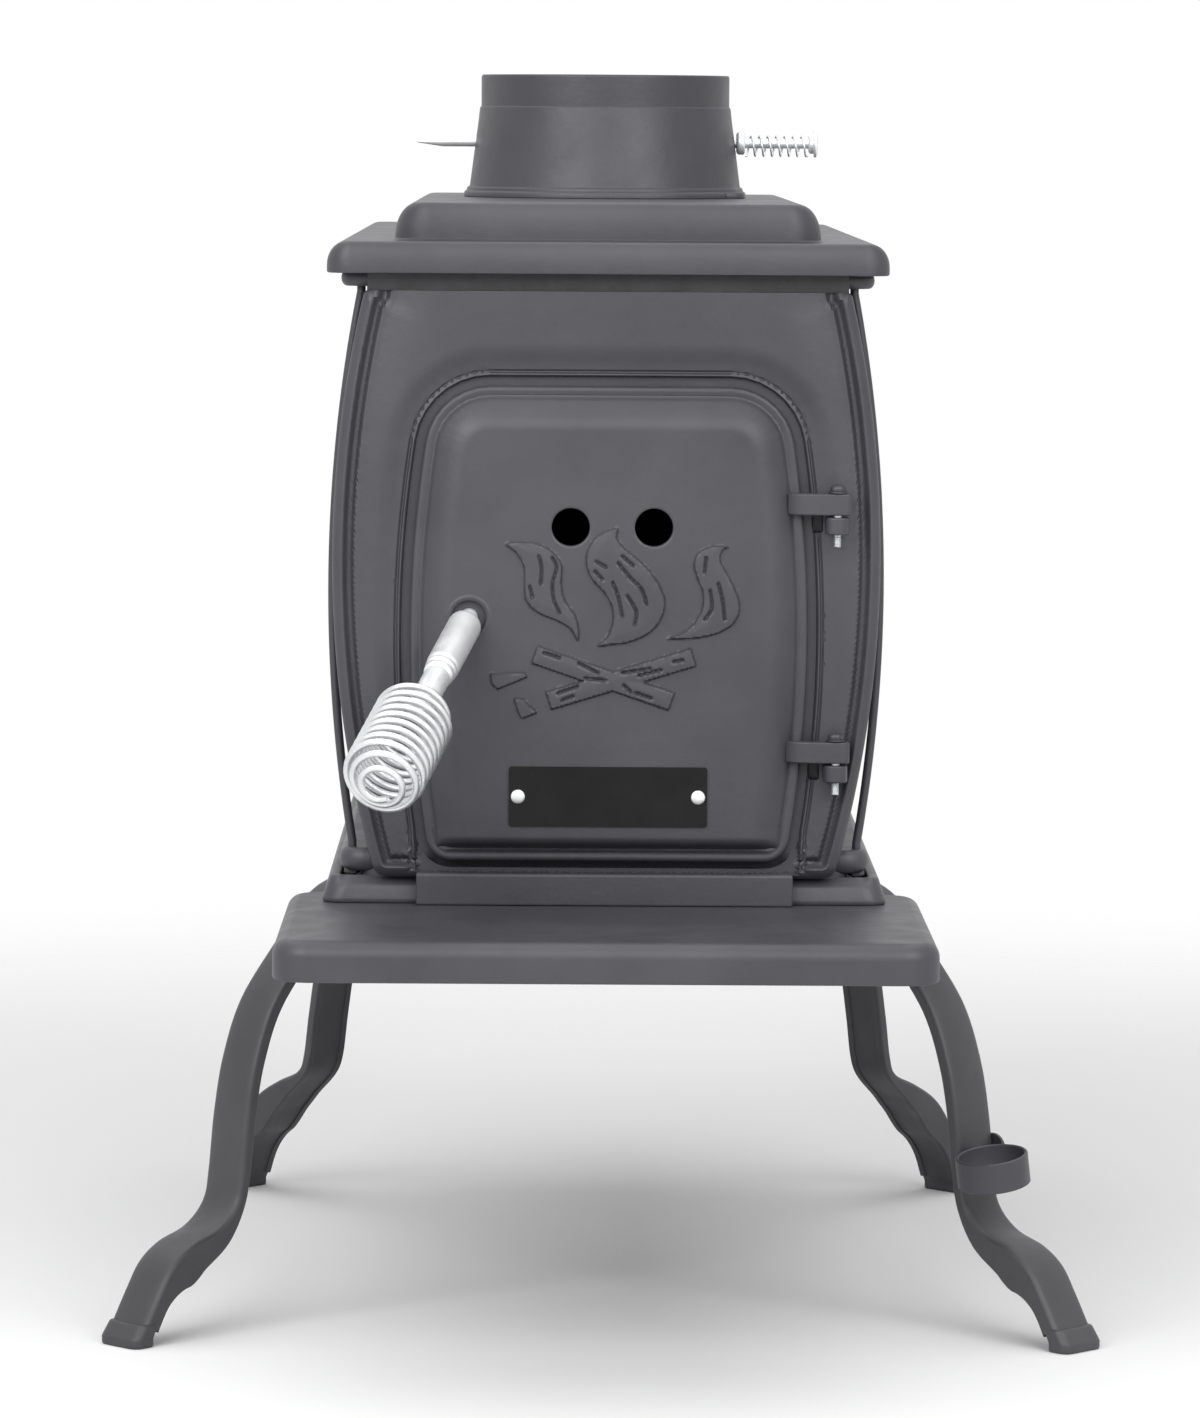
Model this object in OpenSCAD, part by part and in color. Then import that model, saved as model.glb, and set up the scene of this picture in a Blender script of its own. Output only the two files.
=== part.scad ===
// Cast-iron log stove: a long bowed firebox on four splayed legs, with a front shelf,
// a hinged feed door with a coiled-wire handle, and a flue collar with a turning damper.
// Millimetres, +Z up, the door faces -Y. The origin is on the floor under the middle.

/* [Whole stove] */
// Floor to the underside of the base
leg_h = 251; // [235:1:270]
// Front face of the front plate to the rear face of the back plate
body_l = 675.5; // [620:0.5:720]
// How far the shelf stands out ahead of the front plate
shelf_reach = 167.5; // [140:0.5:190]
// Floor of the base to the underside of the top plate
body_h = 348; // [330:1:360]

/* [Bowed body] */
// Width over the front plate where the bow is widest
body_w = 302; // [290:1:320]
// Radius of the bowed sides
bow_r = 645; // [560:5:900]
// Height of the widest point above the base underside
bow_rise = 190; // [175:1:200]
// Thickness of the front plate
front_t = 8; // [7:0.5:9]
// Thickness of the back plate
back_t = 7; // [5:0.5:9]
// Thickness of a side plate
side_t = 6; // [4:0.5:7]
// Distance from the front plate's edge in to the side plate's outer face
side_inset = 4; // [3:0.5:6]
// Width of the raised rim along the front plate's edge
rim_w = 8; // [6:0.5:10]
// Height of that rim
rim_h = 2; // [1:0.25:2.5]
// Width of the groove inside the rim
groove_w = 4.5; // [3:0.5:6]
// Depth of the groove
groove_d = 1.5; // [0.5:0.25:2]

/* [Base] */
// Overall height of the base casting
base_h = 30; // [26:0.5:33]
// Thickness of the base floor
base_floor = 6; // [5:0.5:8]
// Thickness of the ledge that the side plates stand on
ledge_t = 11; // [9:0.5:13]
// Height of the flared tier under the recess
tier_h = 15; // [12:0.5:16]
// Width of the ledge inward from the base's top edge
ledge_w = 29.5; // [28:0.5:32]
// How far the base flares out from ledge to floor
base_flare = 10; // [6:0.5:14]
// Thickness of the flared skirt
skirt_t = 6; // [4:0.5:6]
// Width of the apron under the door
apron_w = 208; // [190:1:220]
// How far the apron stands ahead of the front plate
apron_proud = 6; // [4:0.5:8]

/* [Top] */
// Height of the top plate's edge
top_t = 17.4; // [14:0.2:20]
// How far the top plate overhangs the body all round
top_over = 8; // [6:0.5:10]
// Wall of the top casting
top_wall = 6; // [5:0.5:8]
// Thickness of the rim under the top plate
top_ledge_t = 7.5; // [6:0.5:9]
// Width of the raised platform
platform_w = 236; // [220:1:250]
// Height of the raised platform
platform_h = 21; // [17:0.5:24]
// Top plate's front edge to the platform's front edge
platform_from = 28; // [22:1:36]
// Length of the raised platform
platform_l = 500; // [460:1:540]

/* [Flue collar and damper] */
// Outside diameter of the spigot that a 6-inch pipe slips over
spigot_d = 147.6; // [144:0.2:150]
// Height of the straight spigot
spigot_h = 19; // [15:1:24]
// Bore of the collar
collar_bore = 134; // [128:1:136]
// Outside diameter at the foot of the collar's taper
collar_foot_d = 161; // [157:1:166]
// Height of the collar above its flange
collar_h = 68.3; // [60:0.1:74]
// Diameter of the flange
flange_d = 168; // [166:1:176]
// Thickness of the flange
flange_t = 4; // [3:0.5:6]
// Body front face to the collar's centre
collar_from = 318; // [290:1:345]
// Height of the damper rod above the flange
damper_rise = 32.6; // [28:0.1:38]
// Diameter of the damper rod
damper_rod_d = 6; // [5:0.2:7]
// Diameter of the damper plate
damper_d = 124; // [116:1:126]
// Thickness of the damper plate
damper_t = 4; // [3:0.5:5]
// Reach of the damper rod's point from the collar's axis
damper_point_x = 112.7; // [106:0.5:118]
// Wire of the damper spring
damper_wire = 1.2; // [1:0.1:1.6]
// Mean diameter of the damper spring
damper_coil_d = 9.6; // [9:0.2:11]
// Turns of the damper spring
damper_turns = 7; // [5:1:9]
// Length of the damper spring
damper_spring_l = 37.6; // [32:0.5:42]

/* [Door] */
// Greatest width of the door
door_w = 219; // [205:1:222]
// Height of the door
door_h = 262; // [250:1:266]
// Base underside to the door's lower edge
door_rise = 24.7; // [24:0.1:27]
// Radius of the door's bowed sides
door_bow_r = 700; // [600:10:900]
// Radius of the door's upper corners
door_top_r = 36; // [28:1:42]
// Radius of the door's lower corners
door_low_r = 14; // [12:1:20]
// Sideways offset of the door from the body's middle
door_x = 1.5; // [0:0.5:2]
// Thickness of the door's flange
flange_door_t = 6.7; // [6:0.1:8]
// Height of the door's pillowed field above its flange
pillow_h = 10; // [8:0.5:12]
// Width of the pillow's rounded border
pillow_w = 17; // [13:0.5:20]
// Wall left behind the pillowed field
door_wall = 7; // [6:0.5:8]
// Width of the recess round the door
recess_w = 9; // [8:0.5:9]
// Depth of that recess
recess_d = 3; // [2:0.25:3.5]
// How far the door overlaps the door opening all round
door_lap = 14.5; // [13:0.5:16]
// Running gap between the door and the front plate
door_gap = 0.3; // [0.25:0.05:0.5]
// Diameter of each air hole
air_d = 20.8; // [16:0.2:24]
// Distance between the air holes
air_pitch = 45.6; // [42:0.2:52]
// Height of the air holes above the door's lower edge
air_rise = 185.3; // [178:0.1:192]

/* [Hinges] */
// Sideways place of the hinge pins from the body's middle
hinge_x = 126.5; // [125:0.5:128]
// Distance of the pins ahead of the front plate
hinge_out = 10; // [9.5:0.1:11]
// Diameter of a hinge pin
pin_d = 5; // [4:0.2:6]
// Outside diameter of an eye
eye_d = 15.6; // [14:0.2:16]
// Height of a door arm
arm_h = 12; // [9:0.5:14]
// Height of a front-plate knuckle
knuckle_h = 10.5; // [8:0.5:12]
// Heights of the two door arms above the base underside
arm_rises = [80.4, 217];
// Radial running clearance of a pin in a door arm
pin_clear = 0.06; // [0.03:0.01:0.1]

/* [Handle and latch] */
// Distance of the latch shaft to the left of the body's middle
latch_x = 75.4; // [72:0.2:77]
// Height of the latch shaft above the base underside
latch_rise = 160; // [150:1:170]
// Diameter of the latch shaft and handle rod
shaft_d = 10; // [8:0.5:10.5]
// Diameter of the door recess round the shaft
shaft_well_d = 19.6; // [19:0.2:22]
// Angle of the handle away from the door's normal
handle_tilt = 33; // [28:1:36]
// Lean of the hanging handle to the left of straight down
handle_lean = 30; // [25:1:37]
// Outside diameter of the sleeve
sleeve_d = 18.6; // [16:0.2:19]
// Length of the sleeve
sleeve_l = 53; // [48:1:58]
// Length of the flattened neck
neck_l = 36; // [30:1:38]
// Wire of the coil grip
grip_wire = 3.8; // [3:0.1:4.2]
// Outside diameter of the coil grip
grip_d = 45; // [40:0.2:46]
// Pitch of the coil grip's turns
grip_pitch = 6.8; // [5.8:0.05:7]
// Full turns of the coil grip
grip_turns = 8.5; // [7.5:1:8.5]
// Length of the latch tongue from the shaft
tongue_l = 34; // [32:0.5:37]

/* [Shelf] */
// Width of the shelf
shelf_w = 354; // [340:1:370]
// Depth of the shelf
shelf_l = 230.5; // [215:0.5:236]
// Height of the shelf's edge
shelf_t = 22; // [18:0.5:26]
// Wall of the shelf
shelf_wall = 5; // [4:0.5:5.5]

/* [Legs] */
// Width of a leg
leg_w = 30; // [26:0.5:33]
// Depth of a leg's channel section at its foot
leg_d = 11.7; // [10.5:0.1:13]
// Extra depth of that section at the leg's lower bend
leg_belly = 10.5; // [6:0.5:12]
// Wall of a leg's channel section
leg_wall = 4.5; // [4:0.25:5]
// Front leg anchors, sideways from the middle
leg_front_x = 128; // [124:0.5:129]
// Front leg anchors, behind the front plate's face
leg_front_from = 153; // [148:1:165]
// Rear leg anchors, sideways from the middle
leg_rear_x = 90; // [80:0.5:100]
// Rear leg anchors, behind the front plate's face
leg_rear_from = 421; // [400:1:430]
// Inside diameter of the poker ring
ring_d = 37; // [34:0.5:40]
// Height of the poker ring's band
ring_h = 17.5; // [13:0.5:20]

/* [Fasteners and seals] */
// Diameter of the tie rods
rod_d = 4.8; // [4:0.2:5.4]
// Diameter of the base bolts
bolt_d = 6; // [5:0.5:6]
// Clearance of a fixed bolt or rod in its hole, per side
hole_clear = 0.1; // [0.05:0.05:0.2]
// Width of the rope gasket
gasket_w = 7; // [6:0.5:7.5]
// Width of the bare plate on the door
plate_w = 109; // [98:1:120]
// Height of the bare plate
plate_h = 33; // [27:1:38]

/* [Hidden] */

IRON = "#57575c";
STEEL = "#d4d6d8";
BLACK = "#18181a";
ROPE = "#8d8a82";

$fn = 64;
hull_fn = 32;
eps = 0.01;

// Places along Y
total_l = shelf_reach + body_l + top_over;
front_y = shelf_reach - total_l / 2;
back_y = front_y + body_l;
front_in = front_y + front_t;
back_in = back_y - back_t;

// Heights
base_z = leg_h;
ledge_z = base_z + base_h;
plate_foot_z = base_z + tier_h;
top_z = base_z + body_h;
top_ledge_z = top_z - top_ledge_t;
platform_z = top_z + top_t;
flange_z = platform_z + platform_h;
bow_z = base_z + bow_rise;

// Half widths
ledge_x = body_w / 2 - 4;
ledge_in_x = ledge_x - ledge_w;
top_x = body_w / 2 + 3.5;

side_n = 14;
corner_n = 5;

// Outline of a plate with bowed sides and rounded corners, e inside its edge
function bowed_outline(w, z0, z1, r, zc, rt, rb, e = 0) =
    let (
        xc = w / 2 - r,
        re = r - e,
        ct = max(rt - e, 0.5),
        cb = max(rb - e, 0.5),
        zt = z1 - e - ct,
        zb = z0 + e + cb,
        at = asin((zt - zc) / (re - ct)),
        ab = asin((zb - zc) / (re - cb)),
        xt = xc + (re - ct) * cos(at),
        xb = xc + (re - cb) * cos(ab),
        low = [for (i = [0 : corner_n])
            let (a = -90 + (ab + 90) * i / corner_n) [xb + cb * cos(a), zb + cb * sin(a)]],
        side = [for (i = [1 : side_n - 1])
            let (a = ab + (at - ab) * i / side_n) [xc + re * cos(a), zc + re * sin(a)]],
        high = [for (i = [0 : corner_n])
            let (a = at + (90 - at) * i / corner_n) [xt + ct * cos(a), zt + ct * sin(a)]],
        right = concat(low, side, high),
        n = len(right)
    )
    concat(right, [for (i = [n - 1 : -1 : 0]) [-right[i][0], right[i][1]]]);

function body_outline(e = 0) =
    bowed_outline(body_w, plate_foot_z, top_z, bow_r, bow_z, 3, 9, e);

function tall_outline(e) =
    bowed_outline(body_w, plate_foot_z - 40, top_z + 40, bow_r, bow_z, 3, 9, e);

door_z = base_z + door_rise;
door_mid_z = door_z + 125;

function door_outline(e = 0) =
    bowed_outline(door_w, door_z, door_z + door_h, door_bow_r, door_mid_z,
        door_top_r, door_low_r, e);

// Solid of a 2D outline drawn in X and Z, from y_rear forward by t
module panel(y_rear, t) {
    translate([0, y_rear, 0]) rotate([90, 0, 0]) linear_extrude(t) children();
}

// Flat casting with a rounded upper edge: x half width, y0 to y1, z0 to z1
module rolled_plate(x, y0, y1, z0, z1, plan_r, edge_in, edge_h) {
    steps = 5;
    profile = concat(
        [[0, z0], [plan_r, z0]],
        [for (i = [0 : steps]) let (a = 90 * i / steps)
            [plan_r - edge_in * (1 - cos(a)), z1 - edge_h * (1 - sin(a))]],
        [[0, z1]]);
    hull() {
        for (sx = [-1, 1]) for (y = [y0 + plan_r, y1 - plan_r])
            translate([sx * (x - plan_r), y, 0])
                rotate_extrude($fn = hull_fn) polygon(profile);
    }
}

// Flat plate with a half-round edge all round
module soft_plate(x, y0, y1, z0, z1, plan_r) {
    steps = 6;
    r = (z1 - z0) / 2;
    profile = concat([[0, z0]],
        [for (i = [0 : steps]) let (a = -90 + 180 * i / steps)
            [plan_r - 0.7 * r * (1 - cos(a)), z0 + r + r * sin(a)]],
        [[0, z1]]);
    hull() {
        for (sx = [-1, 1]) for (y = [y0 + plan_r, y1 - plan_r])
            translate([sx * (x - plan_r), y, 0])
                rotate_extrude($fn = hull_fn) polygon(profile);
    }
}

// Rectangle with rounded corners, extruded from z0 to z1
module round_box(x, y0, y1, z0, z1, r) {
    translate([0, 0, z0]) linear_extrude(z1 - z0) union() {
        translate([-x + r, y0]) square([2 * (x - r), y1 - y0]);
        translate([-x, y0 + r]) square([2 * x, y1 - y0 - 2 * r]);
        for (sx = [-1, 1]) for (y = [y0 + r, y1 - r])
            translate([sx * (x - r), y]) circle(r, $fn = hull_fn);
    }
}

module hex_nut(d, h) {
    difference() {
        cylinder(d = d * 1.9, h = h, $fn = 6);
        translate([0, 0, -1]) cylinder(d = d + 2 * hole_clear, h = h + 2);
    }
}

// Domed-head bolt, its head from z = 0 up and its shank down by l
module domed_bolt(d, l, head_d, head_h) {
    rotate_extrude() polygon(concat(
        [[0, -l], [d / 2 - 0.6, -l], [d / 2, -l + 0.6], [d / 2, 0], [head_d / 2, 0],
            [head_d / 2, head_h * 0.4]],
        [for (a = [30 : 20 : 90])
            [head_d / 2 * cos(a) * 1.1, head_h * (0.4 + 0.6 * sin(a))]],
        [[0, head_h]]));
}

// Unbroken round tube along points p, with the outward direction at each point in out
function unit(v) = v / norm(v);
function tube_tangent(p, i) =
    unit(p[min(i + 1, len(p) - 1)] - p[max(i - 1, 0)]);

module tube(p, out, d, sides = 6) {
    n = len(p);
    points = [for (i = [0 : n - 1])
        let (
            t = tube_tangent(p, i),
            a = unit(out[i] - (out[i] * t) * t),
            b = cross(t, a)
        )
        for (k = [0 : sides - 1])
            p[i] + d / 2 * (cos(360 * k / sides) * a + sin(360 * k / sides) * b)];
    walls = [for (i = [0 : n - 2]) for (k = [0 : sides - 1])
        let (
            q = i * sides + k,
            r = i * sides + (k + 1) % sides
        )
        each [[q, q + sides, r], [r, q + sides, r + sides]]];
    start = [for (k = [1 : sides - 2]) [0, k, k + 1]];
    e0 = (n - 1) * sides;
    finish = [for (k = [1 : sides - 2]) [e0, e0 + k + 1, e0 + k]];
    polyhedron(points, concat(walls, start, finish));
}

// Least clear distance between parts of a coil that are most of a turn apart
function least_gap(p, d, per_turn) =
    min([for (i = [0 : len(p) - 1]) for (j = [i + per_turn - 2 : 1 : len(p) - 1])
        norm(p[i] - p[j])]) - d;

// ---------------------------------------------------------------- base

rod_r = 874;
rod_apex_x = body_w / 2 + 0.4;
rod_apex_z = base_z + 173.6;
rod_ys = [front_in + 12, back_in - 13];
function rod_x(z) = rod_apex_x - rod_r + sqrt(rod_r * rod_r - pow(z - rod_apex_z, 2));
rod_bend = 3;
rod_low_x = rod_x(ledge_z + rod_bend);
rod_high_x = rod_x(top_ledge_z - rod_bend);

base_y0 = front_in;
base_y1 = back_in;
tray_x = ledge_in_x + 17.3;
tray_wall = 6;
anchor_back = 14;
bolt_places = concat(
    [for (s = [-1, 1]) [s * (leg_front_x - anchor_back * sqrt(0.5)),
        front_y + leg_front_from + anchor_back * sqrt(0.5)]],
    [for (s = [-1, 1]) [s * (leg_rear_x - anchor_back * sqrt(0.5)),
        front_y + leg_rear_from - anchor_back * sqrt(0.5)]],
    [for (s = [-1, 1]) [s * 62, front_y + 33]]);

module flared_block(z0, z1, inset) {
    flare = base_flare * (ledge_z - z0) / base_h;
    flare_top = base_flare * (ledge_z - z1) / base_h;
    r = 12;
    hull() for (s = [-1, 1]) {
        for (y = [base_y0 - flare * 0.6 + inset + r, base_y1 + flare * 0.6 - inset - r])
            translate([s * (ledge_x + flare - inset - r), y, z0])
                cylinder(r = r, h = eps, $fn = hull_fn);
        for (y = [base_y0 - flare_top * 0.6 + inset + r,
                base_y1 + flare_top * 0.6 - inset - r])
            translate([s * (ledge_x + flare_top - inset - r), y, z1 - eps])
                cylinder(r = r, h = eps, $fn = hull_fn);
    }
}

module base() {
    tier_z = base_z + tier_h;
    step_z = tier_z - 3.5;
    under_z = ledge_z - ledge_t;
    color(IRON) difference() {
        union() {
            // flared tier, open above between its skirt and the tray's wall
            difference() {
                flared_block(base_z, tier_z, 0);
                flared_block(base_z + base_floor, tier_z + 1, skirt_t);
                translate([-body_w, front_y - 20, step_z])
                    cube([2 * body_w, 20 + front_t, base_h]);
            }
            round_box(tray_x, base_y0 + 1, base_y1 - 1, base_z, under_z + 1, 10);
            soft_plate(ledge_x, base_y0, base_y1, under_z, ledge_z, 14);
            rolled_plate(apron_w / 2, front_y - apron_proud, front_y + 40,
                base_z, plate_foot_z, 6, 4, 4);
        }
        // open tray and the mouth through the ledge
        round_box(tray_x - tray_wall, base_y0 + tray_wall + 1, base_y1 - tray_wall - 1,
            base_z + base_floor, under_z + 0.5, 8);
        round_box(ledge_in_x, base_y0 + 10, base_y1 - 10, under_z - 1, ledge_z + 1, 8);
        for (s = [-1, 1]) for (y = rod_ys)
            translate([s * rod_low_x, y, under_z - 1])
                cylinder(d = rod_d + 2 * hole_clear, h = ledge_t + 2);
        for (p = bolt_places)
            translate([p[0], p[1], base_z - 1])
                cylinder(d = bolt_d + 2 * hole_clear, h = base_floor + 2);
    }
}

module firebox_grate() {
    foot = 5;
    thick = 8;
    x = ledge_in_x - 22;
    y0 = base_y0 + 34;
    y1 = base_y1 - 34;
    slots = 16;
    pitch = (y1 - y0 - 24) / slots;
    z = base_z + base_floor + foot;
    color(IRON) {
        difference() {
            round_box(x, y0, y1, z, z + thick, 10);
            for (i = [0 : slots - 1]) for (s = [-1, 1])
                translate([s * x / 2, y0 + 12 + pitch * (i + 0.5), z + thick / 2])
                    cube([x - 22, pitch * 0.45, thick + 2], center = true);
        }
        for (s = [-1, 1]) for (y = [y0 + 14, y1 - 14])
            translate([s * (x - 8), y, z - foot]) cylinder(r = 5, h = foot + 1);
    }
}

// ---------------------------------------------------------------- plates of the body

arm_zs = [for (r = arm_rises) base_z + r];
hinge_y = front_y - hinge_out;
knuckle_gap = 0.3;
recess_y = front_y + recess_d;

module front_plate() {
    pin_hole = pin_d + 2 * 0.05;
    color(IRON) difference() {
        union() {
            difference() {
                panel(front_in, front_t + rim_h) polygon(body_outline());
                panel(front_y, rim_h + 1) polygon(body_outline(rim_w));
                panel(front_y + groove_d, groove_d + rim_h + 1) difference() {
                    polygon(body_outline(rim_w));
                    polygon(body_outline(rim_w + groove_w));
                }
            }
            for (z = arm_zs) translate([hinge_x, hinge_y, z - knuckle_gap - knuckle_h]) {
                cylinder(d = eye_d, h = knuckle_h);
                translate([-eye_d / 2, 0, 0])
                    cube([eye_d, hinge_out + 1, knuckle_h]);
            }
        }
        translate([door_x, 0, 0]) {
            panel(front_in + 1, front_t + rim_h + 2) polygon(door_outline(door_lap));
            panel(recess_y, recess_d + rim_h + 1) polygon(door_outline(-recess_w));
        }
        for (z = arm_zs)
            translate([hinge_x, hinge_y, z - knuckle_gap - knuckle_h - 1])
                cylinder(d = pin_hole, h = knuckle_h + 2);
    }
}

module back_plate() {
    color(IRON) difference() {
        panel(back_y, back_t) polygon(body_outline());
        panel(back_y + 1, 1 + rim_h) polygon(body_outline(rim_w + groove_w));
    }
}

// Right side plate: a bowed strip with a raised field on its outer face
module side_plate() {
    field_in = 30;
    field_h = 1.5;
    module strip(e0, e1, y0, y1, z0, z1) {
        translate([0, y1, 0]) rotate([90, 0, 0]) linear_extrude(y1 - y0)
            intersection() {
                difference() {
                    polygon(tall_outline(e0));
                    polygon(tall_outline(e1));
                }
                translate([body_w / 4, z0]) square([body_w, z1 - z0]);
            }
    }
    strip(side_inset, side_inset + side_t, front_in, back_in, ledge_z, top_ledge_z);
    strip(side_inset - field_h, side_inset + 1, front_in + field_in, back_in - field_in,
        ledge_z + field_in, top_ledge_z - field_in);
}

module side_right() {
    color(IRON) side_plate();
}

module side_left() {
    color(IRON) mirror([1, 0, 0]) side_plate();
}

// ---------------------------------------------------------------- top

top_y0 = front_y - top_over;
top_y1 = back_y + top_over;
plat_x = platform_w / 2;
plat_y0 = top_y0 + platform_from;
plat_y1 = plat_y0 + platform_l;
collar_y = front_y + collar_from;
flue_hole_d = collar_bore - 4;
rod_thread = 12;

module top_plate() {
    rod_hole = rod_d + 2 * hole_clear;
    color(IRON) difference() {
        union() {
            rolled_plate(top_x, top_y0, top_y1, top_z, platform_z, 14, 11, 13);
            soft_plate(ledge_x, base_y0, base_y1, top_ledge_z, top_z + 1.5, 12);
            rolled_plate(plat_x, plat_y0, plat_y1, platform_z - 1, flange_z, 20, 13, 19);
        }
        round_box(ledge_in_x, base_y0 + 10, base_y1 - 10,
            top_ledge_z - 1, platform_z - top_wall, 8);
        round_box(plat_x - 20, plat_y0 + 20, plat_y1 - 20,
            top_ledge_z, flange_z - top_wall, 8);
        translate([0, collar_y, top_z])
            cylinder(d = flue_hole_d, h = flange_z - top_z + 1);
        for (s = [-1, 1]) for (y = rod_ys)
            translate([s * rod_high_x, y, top_ledge_z - 1])
                cylinder(d = rod_hole, h = rod_thread + 2);
        for (a = ear_angles) translate([0, collar_y, 0]) rotate([0, 0, a])
            translate([ear_r, 0, flange_z - top_wall - 1])
                cylinder(d = bolt_d + 2 * hole_clear, h = top_wall + 2);
    }
}

// ---------------------------------------------------------------- flue collar

ear_angles = [-25, 155];
ear_r = 80;
ear_d = 20;
damper_z = flange_z + damper_rise;
damper_clear = 0.06;

collar_z1 = flange_z + flange_t;
collar_z2 = collar_z1 + 2;
collar_top = collar_z1 + collar_h;
collar_step = 0.8;
function collar_r(z) = collar_foot_d / 2 + (spigot_d / 2 + collar_step - collar_foot_d / 2)
    * (z - collar_z2) / (collar_top - spigot_h - collar_z2);

module flue_collar() {
    z1 = collar_z1;
    z2 = collar_z2;
    top = collar_top;
    step = collar_step;
    color(IRON) difference() {
        union() {
            translate([0, collar_y, 0]) {
                translate([0, 0, flange_z]) cylinder(d = flange_d, h = flange_t);
                for (a = ear_angles) rotate([0, 0, a])
                    translate([ear_r, 0, flange_z]) cylinder(d = ear_d, h = flange_t);
                rotate_extrude($fn = 96) polygon([
                    [0, z1 - 1], [collar_foot_d / 2 + 2, z1 - 1], [collar_foot_d / 2 + 2, z2 - 0.8],
                    [collar_foot_d / 2 + 1.2, z2], [collar_foot_d / 2, z2],
                    [spigot_d / 2 + step, top - spigot_h], [spigot_d / 2, top - spigot_h],
                    [spigot_d / 2, top - 1], [spigot_d / 2 - 1, top], [0, top]]);
            }
        }
        translate([0, collar_y, flange_z - 1])
            cylinder(d = collar_bore, h = collar_h + 20);
        translate([-collar_foot_d, collar_y, damper_z]) rotate([0, 90, 0])
            cylinder(d = damper_rod_d + 2 * damper_clear, h = 2 * collar_foot_d);
        for (a = ear_angles) translate([0, collar_y, 0]) rotate([0, 0, a])
            translate([ear_r, 0, flange_z - 1])
                cylinder(d = bolt_d + 2 * hole_clear, h = flange_t - 0.5);
    }
}

module collar_bolts() {
    head_h = 4;
    color(STEEL) translate([0, collar_y, 0]) for (a = ear_angles) rotate([0, 0, a])
        translate([ear_r, 0, flange_z - top_wall])
            mirror([0, 0, 1]) domed_bolt(bolt_d, top_wall + 2, bolt_d * 1.9, head_h);
}

// ---------------------------------------------------------------- damper

cup_d = 13.7;
damper_seat_x = collar_r(damper_z - cup_d / 2 + 1.5) + 0.3;
cup_t = 5.2;
cap_d = 16.4;
spring_x0 = damper_seat_x + cup_t;
spring_x1 = spring_x0 + damper_spring_l;
cap_t = 5;

module along_x(x) {
    translate([x, collar_y, damper_z]) rotate([0, 90, 0]) children();
}

module damper_rod() {
    point_l = 16;
    r = damper_rod_d / 2;
    color(STEEL) along_x(-damper_point_x) rotate_extrude() polygon([
        [0, 0], [0.6, 0.3], [r, point_l], [r, damper_point_x + spring_x1 + cap_t - 1],
        [0, damper_point_x + spring_x1 + cap_t - 1]]);
}

module damper_plate() {
    hub_l = 84;
    hub_d = damper_rod_d + 6;
    color(IRON) difference() {
        union() {
            translate([0, collar_y, damper_z - damper_t / 2])
                cylinder(d = damper_d, h = damper_t);
            along_x(-hub_l / 2) cylinder(d = hub_d, h = hub_l);
            for (s = [-1, 1]) translate([-hub_l / 2, collar_y + s * damper_d / 4 - 2, damper_z])
                cube([hub_l, 4, damper_t / 2 + 3]);
        }
        along_x(-damper_d) cylinder(d = damper_rod_d + 0.1, h = 2 * damper_d);
    }
}

module damper_washer() {
    color(STEEL) along_x(damper_seat_x) difference() {
        rotate_extrude() polygon([[0, 0.4], [cup_d / 2 - 1.5, 0], [cup_d / 2, 1.5],
            [cup_d / 2, cup_t - 1], [cup_d / 2 - 1, cup_t], [0, cup_t]]);
        translate([0, 0, -1]) cylinder(d = damper_rod_d + 0.1, h = cup_t + 2);
    }
}

module damper_cap() {
    disc_t = 1.6;
    color(STEEL) along_x(spring_x1) difference() {
        rotate_extrude() polygon([[0, 0], [cap_d / 2 - 3.2, 0], [cap_d / 2 - 2.2, 1],
            [cap_d / 2 - 2.2, cap_t - disc_t], [cap_d / 2, cap_t - disc_t],
            [cap_d / 2, cap_t], [cap_d / 2 - 1.2, cap_t + 0.8], [0, cap_t + 0.8]]);
        translate([0, 0, -1]) cylinder(d = damper_rod_d + 0.1, h = cap_t);
    }
}

curl_rings = 8;
damper_coil_r = damper_coil_d / 2;
damper_run = damper_spring_l - 2 * damper_wire;
damper_path = concat(
    [[damper_coil_r, 0, 0]],
    [for (i = [0 : damper_turns * curl_rings])
        let (a = 360 * i / curl_rings)
        [damper_coil_r * cos(a), damper_coil_r * sin(a),
            damper_wire + damper_run * i / (damper_turns * curl_rings)]],
    [[damper_coil_r, 0, damper_spring_l]]);
echo(damper_spring_least_gap = least_gap(damper_path, damper_wire, curl_rings));

module damper_spring() {
    out = [for (q = damper_path) [q[0], q[1], 0]];
    color(STEEL) along_x(spring_x0) tube(damper_path, out, damper_wire);
}

// ---------------------------------------------------------------- shelf and fasteners

shelf_y0 = front_y - shelf_reach;
shelf_y1 = shelf_y0 + shelf_l;

module front_shelf() {
    color(IRON) difference() {
        rolled_plate(shelf_w / 2, shelf_y0, shelf_y1, base_z - shelf_t, base_z, 20, 8, 9);
        round_box(shelf_w / 2 - shelf_wall, shelf_y0 + shelf_wall, shelf_y1 - shelf_wall,
            base_z - shelf_t - 1, base_z - shelf_wall, 12);
        for (p = bolt_places)
            translate([p[0], p[1], base_z - shelf_t])
                cylinder(d = bolt_d + 2 * hole_clear, h = shelf_t + 2);
    }
}

nut_h = 5;

module base_bolts() {
    color(STEEL) for (p = bolt_places)
        translate([p[0], p[1], base_z + base_floor + 0.05])
            domed_bolt(bolt_d, base_floor + leg_wall + nut_h + 2, bolt_d * 1.9, 4);
}

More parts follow.
